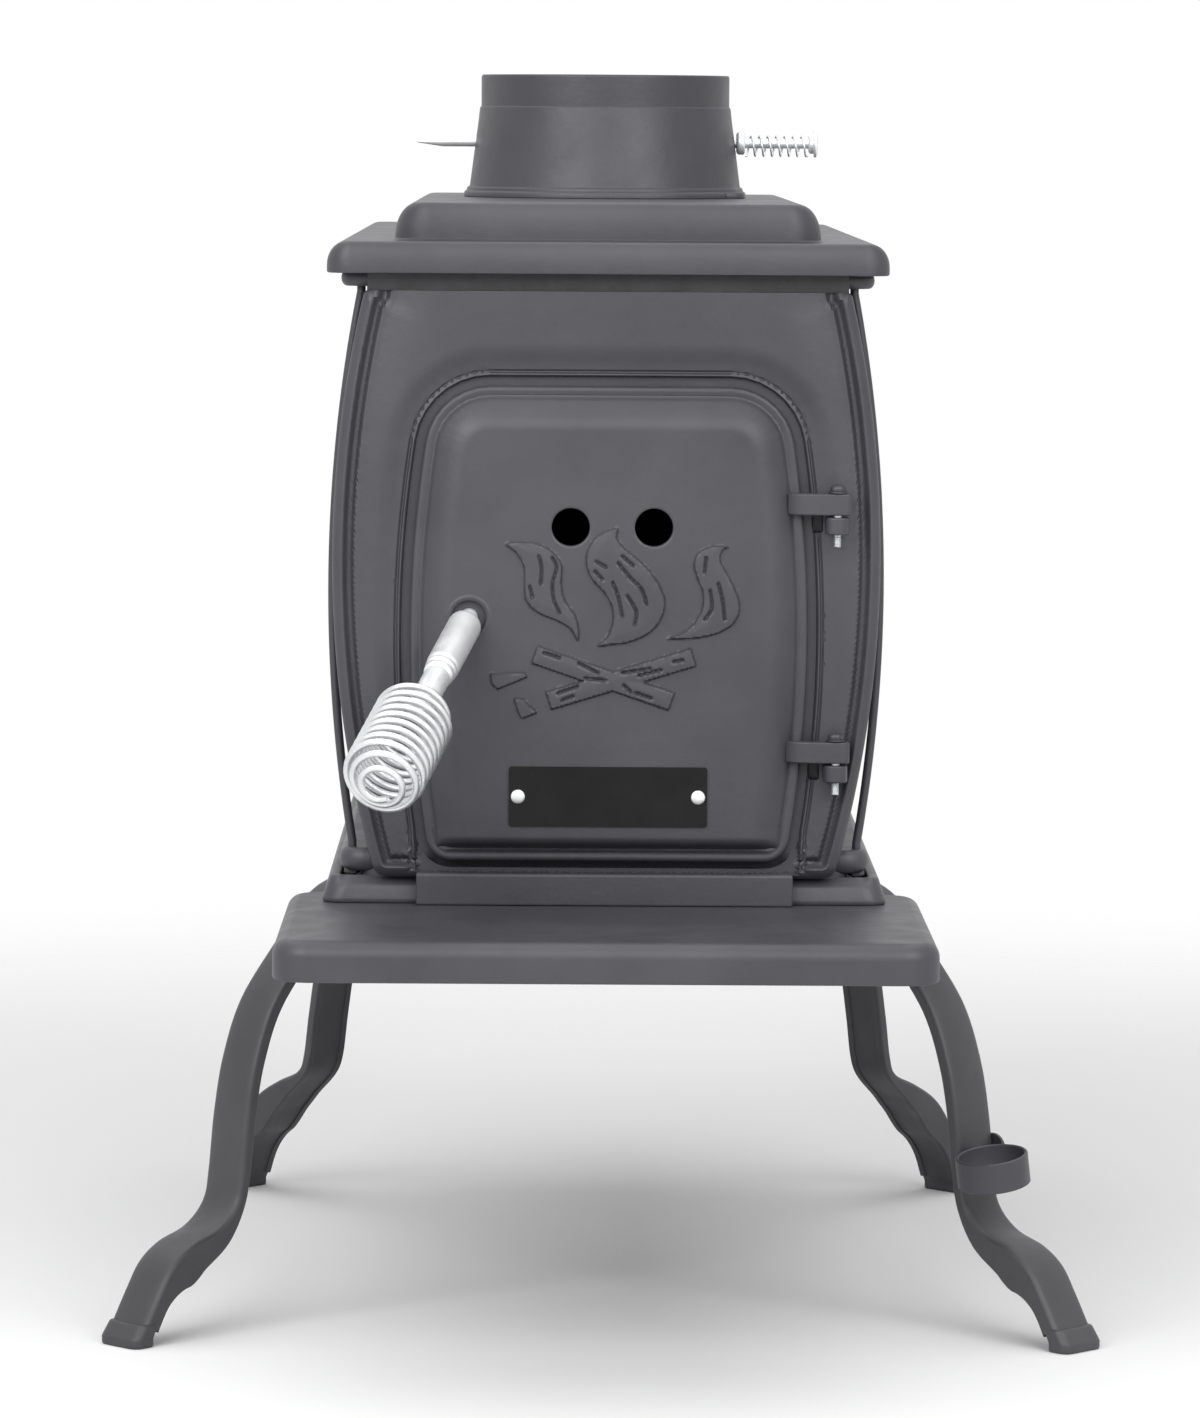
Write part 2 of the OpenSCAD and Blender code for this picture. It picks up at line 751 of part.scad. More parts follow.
module base_nuts() {
    seat = 0.05;
    last = len(bolt_places) - 1;
    color(STEEL) for (i = [0 : last])
        translate([bolt_places[i][0], bolt_places[i][1],
            base_z - (i < last - 1 ? leg_wall : shelf_wall) - seat - nut_h])
            rotate([0, 0, 45]) hex_nut(bolt_d, nut_h);
}

// Bowed rod with straight ends, at the right of the stove
module tie_rod(y) {
    n = 16;
    low = ledge_z + rod_bend;
    high = top_ledge_z - rod_bend;
    path = concat(
        [[rod_low_x, y, ledge_z - ledge_t - nut_h - 4], [rod_low_x, y, ledge_z + 0.2]],
        [for (i = [0 : n]) let (z = low + (high - low) * i / n) [rod_x(z), y, z]],
        [[rod_high_x, y, top_ledge_z - 0.2], [rod_high_x, y, top_ledge_z + rod_thread]]);
    color(IRON) tube(path, [for (q = path) [0, -1, 0]], rod_d, 12);
}

module tie_rod_front_right() tie_rod(rod_ys[0]);
module tie_rod_rear_right() tie_rod(rod_ys[1]);
module tie_rod_front_left() mirror([1, 0, 0]) tie_rod(rod_ys[0]);
module tie_rod_rear_left() mirror([1, 0, 0]) tie_rod(rod_ys[1]);

module tie_nuts() {
    h = nut_h - 1;
    color(STEEL) for (s = [-1, 1]) for (y = rod_ys)
        translate([s * rod_low_x, y, ledge_z - ledge_t - h]) hex_nut(rod_d, h);
}

// ---------------------------------------------------------------- legs

// Outer face of a leg in its own upright plane: distance from the anchor, height when
// leg_h is leg_drawn_h, share of the extra depth (less than none: shallower)
leg_upper = [
    [-26, 251, -0.2], [0, 251, -0.2], [26, 250.4, -0.24], [48, 240, -0.3],
    [70, 217, -0.33], [97, 186, -0.33], [111, 154, -0.33], [118, 122, -0.33]];
front_lower = [
    [122, 90, -0.33], [126, 73.5, -0.33], [139, 61.5, 0.2], [159, 54.5, 0.8],
    [173.5, 44.5, 0.8], [184, 29, 0.05], [194, 12, 0]];
rear_lower = [
    [122.5, 95, -0.33], [128, 84, -0.33], [147, 75.5, 0.35], [165, 65, 0.85],
    [178, 50, 0.8], [186, 31, 0.05], [194, 12, 0]];
leg_drawn_h = 251;
leg_steps = 2;
hold_points = [leg_upper[7], front_lower[0]];

function blend(a, b, c, d, t) = 0.5 * (2 * b + (c - a) * t
    + (2 * a - 5 * b + 4 * c - d) * t * t + (3 * b - a - 3 * c + d) * t * t * t);
function leg_at(pts, i) = let (q = pts[max(0, min(i, len(pts) - 1))])
    [q[0], q[1] * leg_h / leg_drawn_h, q[2]];
function leg_path(pts) = [
    for (q = concat(
        [for (i = [0 : len(pts) - 2]) for (k = [0 : leg_steps - 1])
            blend(leg_at(pts, i - 1), leg_at(pts, i), leg_at(pts, i + 1),
                leg_at(pts, i + 2), k / leg_steps)],
        [leg_at(pts, len(pts))]))
        [q[0], min(q[1], leg_h), q[2]]];

// Channel section of a leg: across, and depth below the outer face
function leg_section(w, d, t) = let (crown = 2, h = w / 2) concat(
    [[-h, -d], [-h, -crown - 0.6], [-h + 1.6, -crown + 0.8], [-h * 0.5, -0.5], [0, 0],
        [h * 0.5, -0.5], [h - 1.6, -crown + 0.8], [h, -crown - 0.6], [h, -d]],
    [[h - t, -d], [h - t, -crown - t], [h - t - 1, -t - 1], [h * 0.35, -t], [0, -t],
        [-h * 0.35, -t], [-h + t + 1, -t - 1], [-h + t, -crown - t], [-h + t, -d]]);

module leg_sweep(path) {
    m = len(leg_section(leg_w, leg_d, leg_wall));
    n = len(path);
    points = [for (i = [0 : n - 1])
        let (
            a = path[max(i - 1, 0)],
            b = path[min(i + 1, n - 1)],
            t = unit(i == 0 ? [1, 0] : i == n - 1 ? [0.3, -1] : [b[0] - a[0], b[1] - a[1]]),
            up = [-t[1], t[0]]
        )
        for (q = leg_section(leg_w, leg_d + leg_belly * path[i][2], leg_wall))
            [path[i][0] + up[0] * q[1], q[0], path[i][1] + up[1] * q[1]]];
    walls = [for (i = [0 : n - 2]) for (k = [0 : m - 1])
        let (q = i * m + k, r = i * m + (k + 1) % m)
        each [[q, r, q + m], [r, r + m, q + m]]];
    half = m / 2;
    e0 = (n - 1) * m;
    start = [for (k = [0 : half - 2])
        each [[k, m - 1 - k, k + 1], [k + 1, m - 1 - k, m - 2 - k]]];
    finish = [for (f = start) [e0 + f[0], e0 + f[2], e0 + f[1]]];
    polyhedron(points, concat(walls, start, finish));
}

module leg(lower, poker) {
    path = leg_path(concat(leg_upper, lower));
    toe = path[len(path) - 1];
    foot_h = 13;
    color(IRON) difference() {
        union() {
            leg_sweep(path);
            // solid foot pad, a little wider than the leg
            hull() for (s = [-1, 1]) {
                translate([toe[0] - leg_d + 2.2, s * (leg_w / 2 - 1.5), foot_h - 0.5])
                    cylinder(r = 2, h = 0.5, $fn = 16);
                translate([toe[0] - 3.5, s * (leg_w / 2 - 4.5), foot_h - 0.5])
                    cylinder(r = 5, h = 0.5, $fn = 24);
                translate([toe[0] - leg_d + 6, s * (leg_w / 2 - 1.5), 0])
                    cylinder(r = 2, h = 5, $fn = 16);
                translate([toe[0] + 1.5, s * (leg_w / 2 - 5), 0])
                    cylinder(r = 6, h = 5, $fn = 24);
            }
        }
        translate([-anchor_back, 0, leg_h - 20])
            cylinder(d = bolt_d + 2 * hole_clear, h = 30);
        if (poker) poker_screw_place() translate([0, 0, -14])
            cylinder(d = screw_d + 2 * hole_clear, h = 30, $fn = 32);
    }
}

module at_leg(side, front) {
    translate([side * (front ? leg_front_x : leg_rear_x),
        front_y + (front ? leg_front_from : leg_rear_from), 0])
        rotate([0, 0, front ? -90 + side * 45 : 90 - side * 45])
            children();
}

module leg_front_left() at_leg(-1, true) leg(front_lower, false);
module leg_front_right() at_leg(1, true) leg(front_lower, true);
module leg_rear_left() at_leg(-1, false) leg(rear_lower, false);
module leg_rear_right() at_leg(1, false) leg(rear_lower, false);

// Frame on the leg's outer face beside the poker ring: x outward, y across, z up the face
screw_d = 4;
screw_down = 4;
ring_t = 2;
ring_seat = 0.35;
ring_out = 143.5;
ring_side = -14;
ring_mid_z = 97.75;
module poker_frame() {
    a = hold_points[0];
    b = hold_points[1];
    scale_z = leg_h / leg_drawn_h;
    share = screw_down / (a[1] - b[1]);
    tilt = atan((b[0] - a[0]) / ((a[1] - b[1]) * scale_z));
    translate([a[0] + (b[0] - a[0]) * share, 0, (a[1] - screw_down) * scale_z])
        rotate([0, -tilt, 0]) children();
}

// Seat of the screw's head on the tab, with +Z out of the leg's side
tab_y = leg_w / 2 + ring_seat;
module poker_screw_place() {
    poker_frame() translate([-5.4, tab_y + ring_t, -14.25]) rotate([-90, 0, 0]) children();
}

module poker_ring() {
    r = ring_d / 2 + ring_t;
    tab_r = 8.75;
    strap_w = tab_y + ring_t - ring_side;
    color(IRON) at_leg(1, true) difference() {
        union() {
            translate([ring_out, ring_side, ring_mid_z * leg_h / leg_drawn_h])
                rotate([10, 0, 0]) translate([0, 0, -ring_h / 2]) cylinder(r = r, h = ring_h);
            poker_frame() {
                translate([ring_seat, ring_side, -30]) cube([ring_t, strap_w, 16.5]);
                translate([-3.25, tab_y + ring_t, -14.25]) rotate([90, 0, 0])
                    linear_extrude(ring_t) union() {
                        circle(tab_r, $fn = hull_fn);
                        translate([-tab_r, -15.75]) square([2 * tab_r, 15.75]);
                    }
            }
        }
        translate([ring_out, ring_side, ring_mid_z * leg_h / leg_drawn_h])
            rotate([10, 0, 0]) translate([0, 0, -ring_h]) cylinder(d = ring_d, h = 2 * ring_h);
        poker_screw_place() translate([0, 0, -10])
            cylinder(d = screw_d + 2 * hole_clear, h = 20, $fn = 32);
    }
}

module poker_ring_screw() {
    color(STEEL) at_leg(1, true) poker_screw_place() domed_bolt(screw_d, 9, 8, 3);
}

// ---------------------------------------------------------------- door

door_back_y = recess_y - door_gap;
door_flange_y = door_back_y - flange_door_t;
door_face_y = door_flange_y - pillow_h;
latch_z = base_z + latch_rise;
latch_clear = 0.06;
air_z = door_z + air_rise;
plate_z = door_z + 37;
rivet_x = 49.5;

// Pillowed field of the door: one loft from its flange to its flat face
module door_pillow() {
    e0 = 5;
    steps = 6;
    rings = concat([[e0, door_flange_y + 1]],
        [for (i = [0 : steps]) let (a = 90 * i / steps)
            [e0 + pillow_w * (1 - cos(a)), door_flange_y - pillow_h * sin(a)]]);
    outline = door_outline();
    m = len(outline);
    n = len(rings);
    points = [for (q = rings) for (p = door_outline(q[0])) [p[0], q[1], p[1]]];
    walls = [for (i = [0 : n - 2]) for (k = [0 : m - 1])
        let (a = i * m + k, b = i * m + (k + 1) % m)
        each [[a, a + m, b], [b, a + m, b + m]]];
    start = [[for (k = [0 : m - 1]) k]];
    finish = [[for (k = [m - 1 : -1 : 0]) (n - 1) * m + k]];
    polyhedron(points, concat(walls, start, finish));
}

module along_y(x, y, z, d, l) {
    translate([x, y, z]) rotate([90, 0, 0]) cylinder(d = d, h = l);
}

module door() {
    boss_d = 24;
    arm_in = 34;
    gasket_in = 3.8;
    color(IRON) difference() {
        union() {
            translate([door_x, 0, 0]) difference() {
                union() {
                    panel(door_back_y, flange_door_t) polygon(door_outline());
                    door_pillow();
                }
                panel(door_back_y + 1, door_back_y + 1 - (door_face_y + door_wall))
                    polygon(door_outline(door_lap + 4));
                panel(door_back_y + 1, 1 + 4.5) difference() {
                    polygon(door_outline(gasket_in));
                    polygon(door_outline(gasket_in + gasket_w + 0.4));
                }
            }
            along_y(-latch_x, front_in + 0.3, latch_z, boss_d,
                front_in + 0.3 - door_face_y - 4);
            for (z = arm_zs) {
                translate([hinge_x, hinge_y, z]) cylinder(d = eye_d, h = arm_h);
                translate([hinge_x - arm_in, hinge_y - eye_d / 2 + 2.5, z])
                    cube([arm_in, eye_d - 5, arm_h]);
            }
        }
        for (z = arm_zs) translate([hinge_x, hinge_y, z - 1])
            cylinder(d = pin_d + 2 * pin_clear, h = arm_h + 2);
        for (s = [-1, 1])
            along_y(door_x + 1.5 + s * air_pitch / 2, door_back_y + 5, air_z, air_d, 40);
        along_y(-latch_x, front_in + 5, latch_z, shaft_d + 2 * latch_clear, 50);
        along_y(-latch_x, door_face_y + 4, latch_z, shaft_well_d, 20);
        for (s = [-1, 1])
            along_y(door_x + s * rivet_x, door_face_y + 4, plate_z, 3 + 2 * hole_clear, 10);
    }
}

module door_gasket() {
    color(ROPE) translate([door_x, 0, 0])
        panel(door_back_y + 0.1, 4.5) difference() {
            polygon(door_outline(4));
            polygon(door_outline(4 + gasket_w));
        }
}

plate_t = 1.2;

module door_plate() {
    r = 1.5;
    color(BLACK) difference() {
        translate([door_x, door_face_y, plate_z]) rotate([90, 0, 0]) linear_extrude(plate_t)
            union() {
                square([plate_w, plate_h - 2 * r], center = true);
                square([plate_w - 2 * r, plate_h], center = true);
                for (sx = [-1, 1]) for (sz = [-1, 1])
                    translate([sx * (plate_w / 2 - r), sz * (plate_h / 2 - r)])
                        circle(r, $fn = 24);
            }
        for (s = [-1, 1])
            along_y(door_x + s * rivet_x, door_face_y + 4, plate_z, 3 + 2 * hole_clear, 10);
    }
}

module plate_rivets() {
    color(STEEL) for (s = [-1, 1])
        translate([door_x + s * rivet_x, door_face_y - plate_t, plate_z])
            rotate([90, 0, 0]) domed_bolt(3, plate_t + 3.5, 7.2, 2);
}

module hinge_washers() {
    color(STEEL) for (z = arm_zs) translate([hinge_x, hinge_y, z + arm_h + 0.3])
        difference() {
            cylinder(d = pin_d + 5.4, h = 1);
            translate([0, 0, -1]) cylinder(d = pin_d + 0.1, h = 3);
        }
}

module hinge_pins() {
    below = 6.5;
    color(STEEL) for (z = arm_zs) translate([hinge_x, hinge_y, z + arm_h + 1.3])
        domed_bolt(pin_d, arm_h + 1.3 + knuckle_gap + knuckle_h + below, 8.4, 4);
}

// ---------------------------------------------------------------- handle and latch

tongue_t = 6;
tongue_y = front_in + 0.6;
latch_nut_h = 5;

// Frame along the handle: origin where it leaves the door, +Z out along the grip
module handle_frame() {
    translate([-latch_x, door_face_y, latch_z]) rotate([0, handle_lean, 0])
        rotate([90 + handle_tilt, 0, 0]) children();
}

sleeve_z0 = sleeve_d / 2 * tan(handle_tilt) + 0.8;
neck_z = sleeve_z0 + sleeve_l;
grip_z = neck_z + neck_l;

module latch_shaft() {
    neck_d = 14;
    y_in = tongue_y + tongue_t + 0.3 + latch_nut_h + 3;
    color(STEEL) union() {
        along_y(-latch_x, y_in, latch_z, shaft_d, y_in - door_face_y);
        translate([-latch_x, door_face_y, latch_z]) sphere(d = shaft_d + 2.4);
        handle_frame() {
            cylinder(d = shaft_d, h = neck_z + 1);
            translate([0, 0, neck_z]) cylinder(d1 = neck_d + 1, d2 = neck_d, h = neck_l);
        }
    }
}

module handle_sleeve() {
    r = sleeve_d / 2;
    l = sleeve_l;
    color(STEEL) handle_frame() translate([0, 0, sleeve_z0]) difference() {
        rotate_extrude() polygon([[0, 0], [r - 0.8, 0], [r, 0.8], [r, l - 11],
            [r - 1, l - 10], [r - 1, l - 8.5], [r - 0.3, l - 7.5], [r - 0.3, l - 6],
            [r - 1.4, l - 5], [r - 1.4, l - 3.5], [r - 0.9, l - 2.8], [r - 0.9, l - 1],
            [r - 1.8, l], [0, l]]);
        translate([0, 0, -1]) cylinder(d = shaft_d + 0.1, h = l + 2);
    }
}

module latch_tongue() {
    w = 13;
    rest_angle = 97;
    color(STEEL) translate([-latch_x, tongue_y + tongue_t, latch_z]) rotate([90, 0, 0])
        rotate([0, 0, rest_angle]) difference() {
            union() {
                cylinder(d = shaft_d + 9, h = tongue_t);
                translate([0, -w / 2, 0]) cube([tongue_l - 4, w, tongue_t]);
                translate([tongue_l - 4, -w / 2 + 4, 0]) cube([4, w - 8, tongue_t]);
                for (s = [-1, 1]) translate([tongue_l - 4, s * (w / 2 - 4), 0])
                    cylinder(r = 4, h = tongue_t, $fn = 32);
            }
            translate([0, 0, -1]) cylinder(d = shaft_d + 0.1, h = tongue_t + 2);
        }
}

module latch_nut() {
    color(STEEL) translate([-latch_x, tongue_y + tongue_t + 0.3 + latch_nut_h, latch_z])
        rotate([90, 0, 0]) difference() {
            cylinder(d = shaft_d + 8, h = latch_nut_h, $fn = 6);
            translate([0, 0, -1]) cylinder(d = shaft_d + 0.1, h = latch_nut_h + 2);
        }
}

// Wire of the grip: out of the neck, a flat spiral, full turns, then two shrinking turns
grip_r = (grip_d - grip_wire) / 2;
grip_start_r = 2.5;
lead_n = 10;
body_n = grip_turns * curl_rings;
nose_n = 17;
nose_r = 7.6;
nose_pitch = 4.8;
function grip_angle(i) = 360 * i / curl_rings;
function grip_radius(i) = i < lead_n ? grip_start_r + (grip_r - grip_start_r) * i / lead_n
    : i < lead_n + body_n ? grip_r
    : grip_r + (nose_r - grip_r) * (i - lead_n - body_n) / nose_n;
function grip_height(i) = grip_wire
    + (i < lead_n ? 0.8 * i / lead_n
        : i < lead_n + body_n ? 0.8 + grip_pitch * (i - lead_n) / curl_rings
        : 0.8 + grip_pitch * grip_turns
            + nose_pitch * (i - lead_n - body_n) / curl_rings);
grip_wound = [for (i = [0 : lead_n + body_n + nose_n])
    [grip_radius(i) * cos(grip_angle(i)), grip_radius(i) * sin(grip_angle(i)),
        grip_height(i)]];
grip_last = len(grip_wound) - 1;
grip_path = concat(
    [[grip_start_r, 0, 0]],
    grip_wound,
    [grip_wound[grip_last] + grip_wire * unit(grip_wound[grip_last] - grip_wound[grip_last - 1])]);
echo(coil_grip_least_gap = least_gap(grip_path, grip_wire, curl_rings));

module coil_grip() {
    out = [for (i = [0 : len(grip_path) - 1])
        let (q = grip_path[i]) [q[0], q[1], 0]];
    color(STEEL) handle_frame() translate([0, 0, grip_z])
        tube(grip_path, out, grip_wire);
}

base();
front_plate();
back_plate();
side_left();
side_right();
top_plate();
flue_collar();
collar_bolts();
firebox_grate();
front_shelf();
leg_front_left();
leg_front_right();
leg_rear_left();
leg_rear_right();
base_bolts();
base_nuts();
tie_rod_front_left();
tie_rod_front_right();
tie_rod_rear_left();
tie_rod_rear_right();
tie_nuts();
poker_ring();
poker_ring_screw();
hinge_pins();
hinge_washers();
door();
door_gasket();
door_plate();
plate_rivets();
latch_shaft();
latch_tongue();
latch_nut();
handle_sleeve();
coil_grip();
damper_rod();
damper_plate();
damper_washer();
damper_spring();
damper_cap();
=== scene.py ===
from math import asin, atan, cos, degrees, hypot, pi, radians, sin, sqrt, tan

import bpy
import bmesh
import numpy as np
from mathutils import Matrix, Vector
from mathutils.geometry import convex_hull_2d, delaunay_2d_cdt


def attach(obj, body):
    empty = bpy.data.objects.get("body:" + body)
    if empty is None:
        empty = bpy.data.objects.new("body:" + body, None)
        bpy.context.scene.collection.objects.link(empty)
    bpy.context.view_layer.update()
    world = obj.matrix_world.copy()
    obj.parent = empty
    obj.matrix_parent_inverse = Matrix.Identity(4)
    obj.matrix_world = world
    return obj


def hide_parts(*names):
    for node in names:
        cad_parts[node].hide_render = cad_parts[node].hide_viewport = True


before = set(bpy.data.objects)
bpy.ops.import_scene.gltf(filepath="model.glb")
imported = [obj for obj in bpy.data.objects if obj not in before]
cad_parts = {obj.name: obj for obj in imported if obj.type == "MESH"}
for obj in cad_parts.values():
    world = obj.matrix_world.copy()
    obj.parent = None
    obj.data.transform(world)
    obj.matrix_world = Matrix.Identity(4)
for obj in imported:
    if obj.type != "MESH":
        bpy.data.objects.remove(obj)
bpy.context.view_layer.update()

MM = 0.001

# Places in millimetres, the same as in the solid model
FRONT_IN, BACK_IN = -250.0, 410.5
BASE_Z, TIER_Z, LEDGE_UNDER, LEDGE_Z = 251.0, 266.0, 270.0, 281.0
RIM_Z, TOP_Z, PLATFORM_Z, FLANGE_Z = 591.5, 599.0, 616.4, 637.4
COLLAR_Y, DAMPER_Z = 60.0, 670.0
LEDGE_X = 147.0
DOOR_X, DOOR_BACK, DOOR_FACE = 1.5, -255.3, -272.0
HINGE_X, HINGE_Y = 126.5, -268.0
ARM_Z = (331.4, 468.0)
LATCH_X, LATCH_Z = -75.4, 411.0
AIR_R, AIRS = 10.4, [(DOOR_X + 1.5 + q * 45.6 / 2, 461.0) for q in (-1, 1)]
PLATE_Z = 312.7
ROD_FRONT, ROD_REAR = -238.0, 397.5
LEG_FRONT, LEG_REAR = (128, -105), (90, 163)
EARS, EAR_X = (-25, 155), 80  # the collar's ears: turn in degrees and place of the bolt
BOLT_HEAD = 11.4

# Bowed outlines: the radius of the bow and the height of its middle, beside widths and ends
BODY_W, BODY_BOW, BODY_MID = 302, 645, 441
DOOR_W, DOOR_LOW, DOOR_HIGH, DOOR_BOW, DOOR_MID = 219, 275.7, 537.7, 700, 400.7
ROD_ARC = (151.4, 874, 424.6)

# Flat castings in plan: half width, front, back, corner radius
MOUTH = (117.5, FRONT_IN + 10, BACK_IN - 10, 8)
LEDGE = (LEDGE_X, FRONT_IN, BACK_IN, 14)
TOP = (154.5, -266, 425.5, 14)
PLATFORM = (118, -238, 262, 20)
SHELF = (177, -425.5, -195, 20)

SLOT_Z = 589.6  # scene only: the front plate's upper edge, below the dark slot under the top
SHARP = 38  # degrees from which an edge is shaded sharp


# ------------------------------------------------------------------ outlines

def spread(a, b, n):
    """n even places from a to b."""
    return [a + (b - a) * i / (n - 1) for i in range(n)]


def bowed(w, z0, z1, r, zc, rt, rb, e=0.0, dx=0.0):
    """Outline in X and Z with bowed sides and rounded corners, e inside its edge.

    It has width w, ends z0 and z1, bows of radius r about zc, and corners rt on top, rb below.
    """
    sides, corner = 34, 8  # points along a side and round a corner
    xc, re = w / 2 - r, r - e
    ct, cb = max(rt - e, 0.5), max(rb - e, 0.5)
    zt, zb = z1 - e - ct, z0 + e + cb
    at, ab = asin((zt - zc) / (re - ct)), asin((zb - zc) / (re - cb))
    xt, xb = xc + (re - ct) * cos(at), xc + (re - cb) * cos(ab)
    right = [(xb + cb * cos(a), zb + cb * sin(a)) for a in spread(-pi / 2, ab, corner)]
    right += [(xc + re * cos(a), zc + re * sin(a)) for a in spread(ab, at, sides)[1:-1]]
    right += [(xt + ct * cos(a), zt + ct * sin(a)) for a in spread(at, pi / 2, corner)]
    return [(dx + x, z) for x, z in right] + [(dx - x, z) for x, z in reversed(right)]


def bow_x(z, x, r, mid, e=0.0):
    """X of a bowed edge at a height, e inside it: x at its widest, radius, its middle's Z."""
    return x - r + sqrt((r - e) ** 2 - (z - mid) ** 2)


def rod_x(z):
    return bow_x(z, *ROD_ARC)


def body_outline(e=0.0, top=TOP_Z):
    return bowed(BODY_W, TIER_Z, top, BODY_BOW, BODY_MID, 3, 9, e)


def door_outline(e=0.0):
    return bowed(DOOR_W, DOOR_LOW, DOOR_HIGH, DOOR_BOW, DOOR_MID, 36, 14, e, DOOR_X)


def rounded(x, y0, y1, r, corner=10):
    """Rectangle from -x to x and y0 to y1 with corners of radius r."""
    points = []
    for cx, cy, a0 in ((x - r, y0 + r, -pi / 2), (x - r, y1 - r, 0),
                       (r - x, y1 - r, pi / 2), (r - x, y0 + r, pi)):
        points += [(cx + r * cos(a), cy + r * sin(a)) for a in spread(a0, a0 + pi / 2, corner)]
    return points


def circle(cx, cy, r, n):
    return [(cx + r * cos(2 * pi * i / n), cy + r * sin(2 * pi * i / n)) for i in range(n)]


def at_z(outline, z):
    return [(x, y, z) for x, y in outline]


def at_y(outline, y):
    return [(x, y, z) for x, z in outline]


def inset(points, e):
    """Outline moved inward by e, for one that runs anticlockwise."""
    sharpest = 0.35  # limits the reach of a corner
    n, out = len(points), []
    for i in range(n):
        a, b, c = (Vector(points[(i + k) % n]) for k in (-1, 0, 1))
        u, v = (b - a).normalized(), (c - b).normalized()
        nu, nv = Vector((-u.y, u.x)), Vector((-v.y, v.x))
        m = (nu + nv) / max(1 + nu.dot(nv), sharpest)
        out.append(tuple(b + m * e))
    return out


def hull_of(discs, n=56):
    """Outline round some discs (x, y, r), by equal turns about their middle."""
    cloud = [Vector(p) for x, y, r in discs for p in circle(x, y, r, 32)]
    poly = [cloud[i] for i in convex_hull_2d(cloud)]
    mid = sum(poly, Vector((0, 0))) / len(poly)
    out = []
    for k in range(n):
        d = Vector((cos(2 * pi * k / n), sin(2 * pi * k / n)))
        reach = 0.0
        for i in range(len(poly)):
            a, b = poly[i] - mid, poly[(i + 1) % len(poly)] - mid
            s = b - a
            den = d.x * s.y - d.y * s.x
            if abs(den) > 1e-9:
                t = (a.x * s.y - a.y * s.x) / den
                q = (a.x * d.y - a.y * d.x) / den
                if t > 0 and -1e-6 <= q <= 1 + 1e-6:
                    reach = max(reach, t)
        out.append(tuple(mid + d * reach))
    return out


def smooth_curve(points, steps, closed=False):
    """Catmull-Rom curve through points of any dimension."""
    n, out = len(points), []
    pick = (lambda i: points[i % n]) if closed else (lambda i: points[max(0, min(i, n - 1))])
    for i in range(n if closed else n - 1):
        a, b, c, d = (Vector(pick(i + k)) for k in (-1, 0, 1, 2))
        for s in range(steps):
            t = s / steps
            out.append(tuple(0.5 * (2 * b + (c - a) * t + (2 * a - 5 * b + 4 * c - d) * t * t
                                    + (3 * b - a - 3 * c + d) * t ** 3)))
    if not closed:
        out.append(tuple(points[-1]))
    return out


def soft_step(t):
    """Smooth rise from 0 to 1 as t goes from 0 to 1."""
    t = np.clip(t, 0.0, 1.0)
    return t * t * (3 - 2 * t)


def inside(px, py, poly):
    """Which of the points lie in the polygon."""
    hit = np.zeros(len(px), bool)
    x0, y0 = poly[-1]
    for x1, y1 in poly:
        cross = (y1 > py) != (y0 > py)
        if y1 != y0:
            hit ^= cross & (px < (x0 - x1) * (py - y1) / (y0 - y1) + x1)
        x0, y0 = x1, y1
    return hit


def distance(px, py, line, closed=True):
    """Distance of each point from a polyline."""
    best = np.full(len(px), 1e9)
    pairs = list(zip(line, line[1:] + line[:1])) if closed else list(zip(line, line[1:]))
    for (ax, ay), (bx, by) in pairs:
        ux, uy = bx - ax, by - ay
        t = np.clip(((px - ax) * ux + (py - ay) * uy) / (ux * ux + uy * uy + 1e-12), 0, 1)
        best = np.minimum(best, np.hypot(px - ax - t * ux, py - ay - t * uy))
    return best


# ------------------------------------------------------------------ mesh building

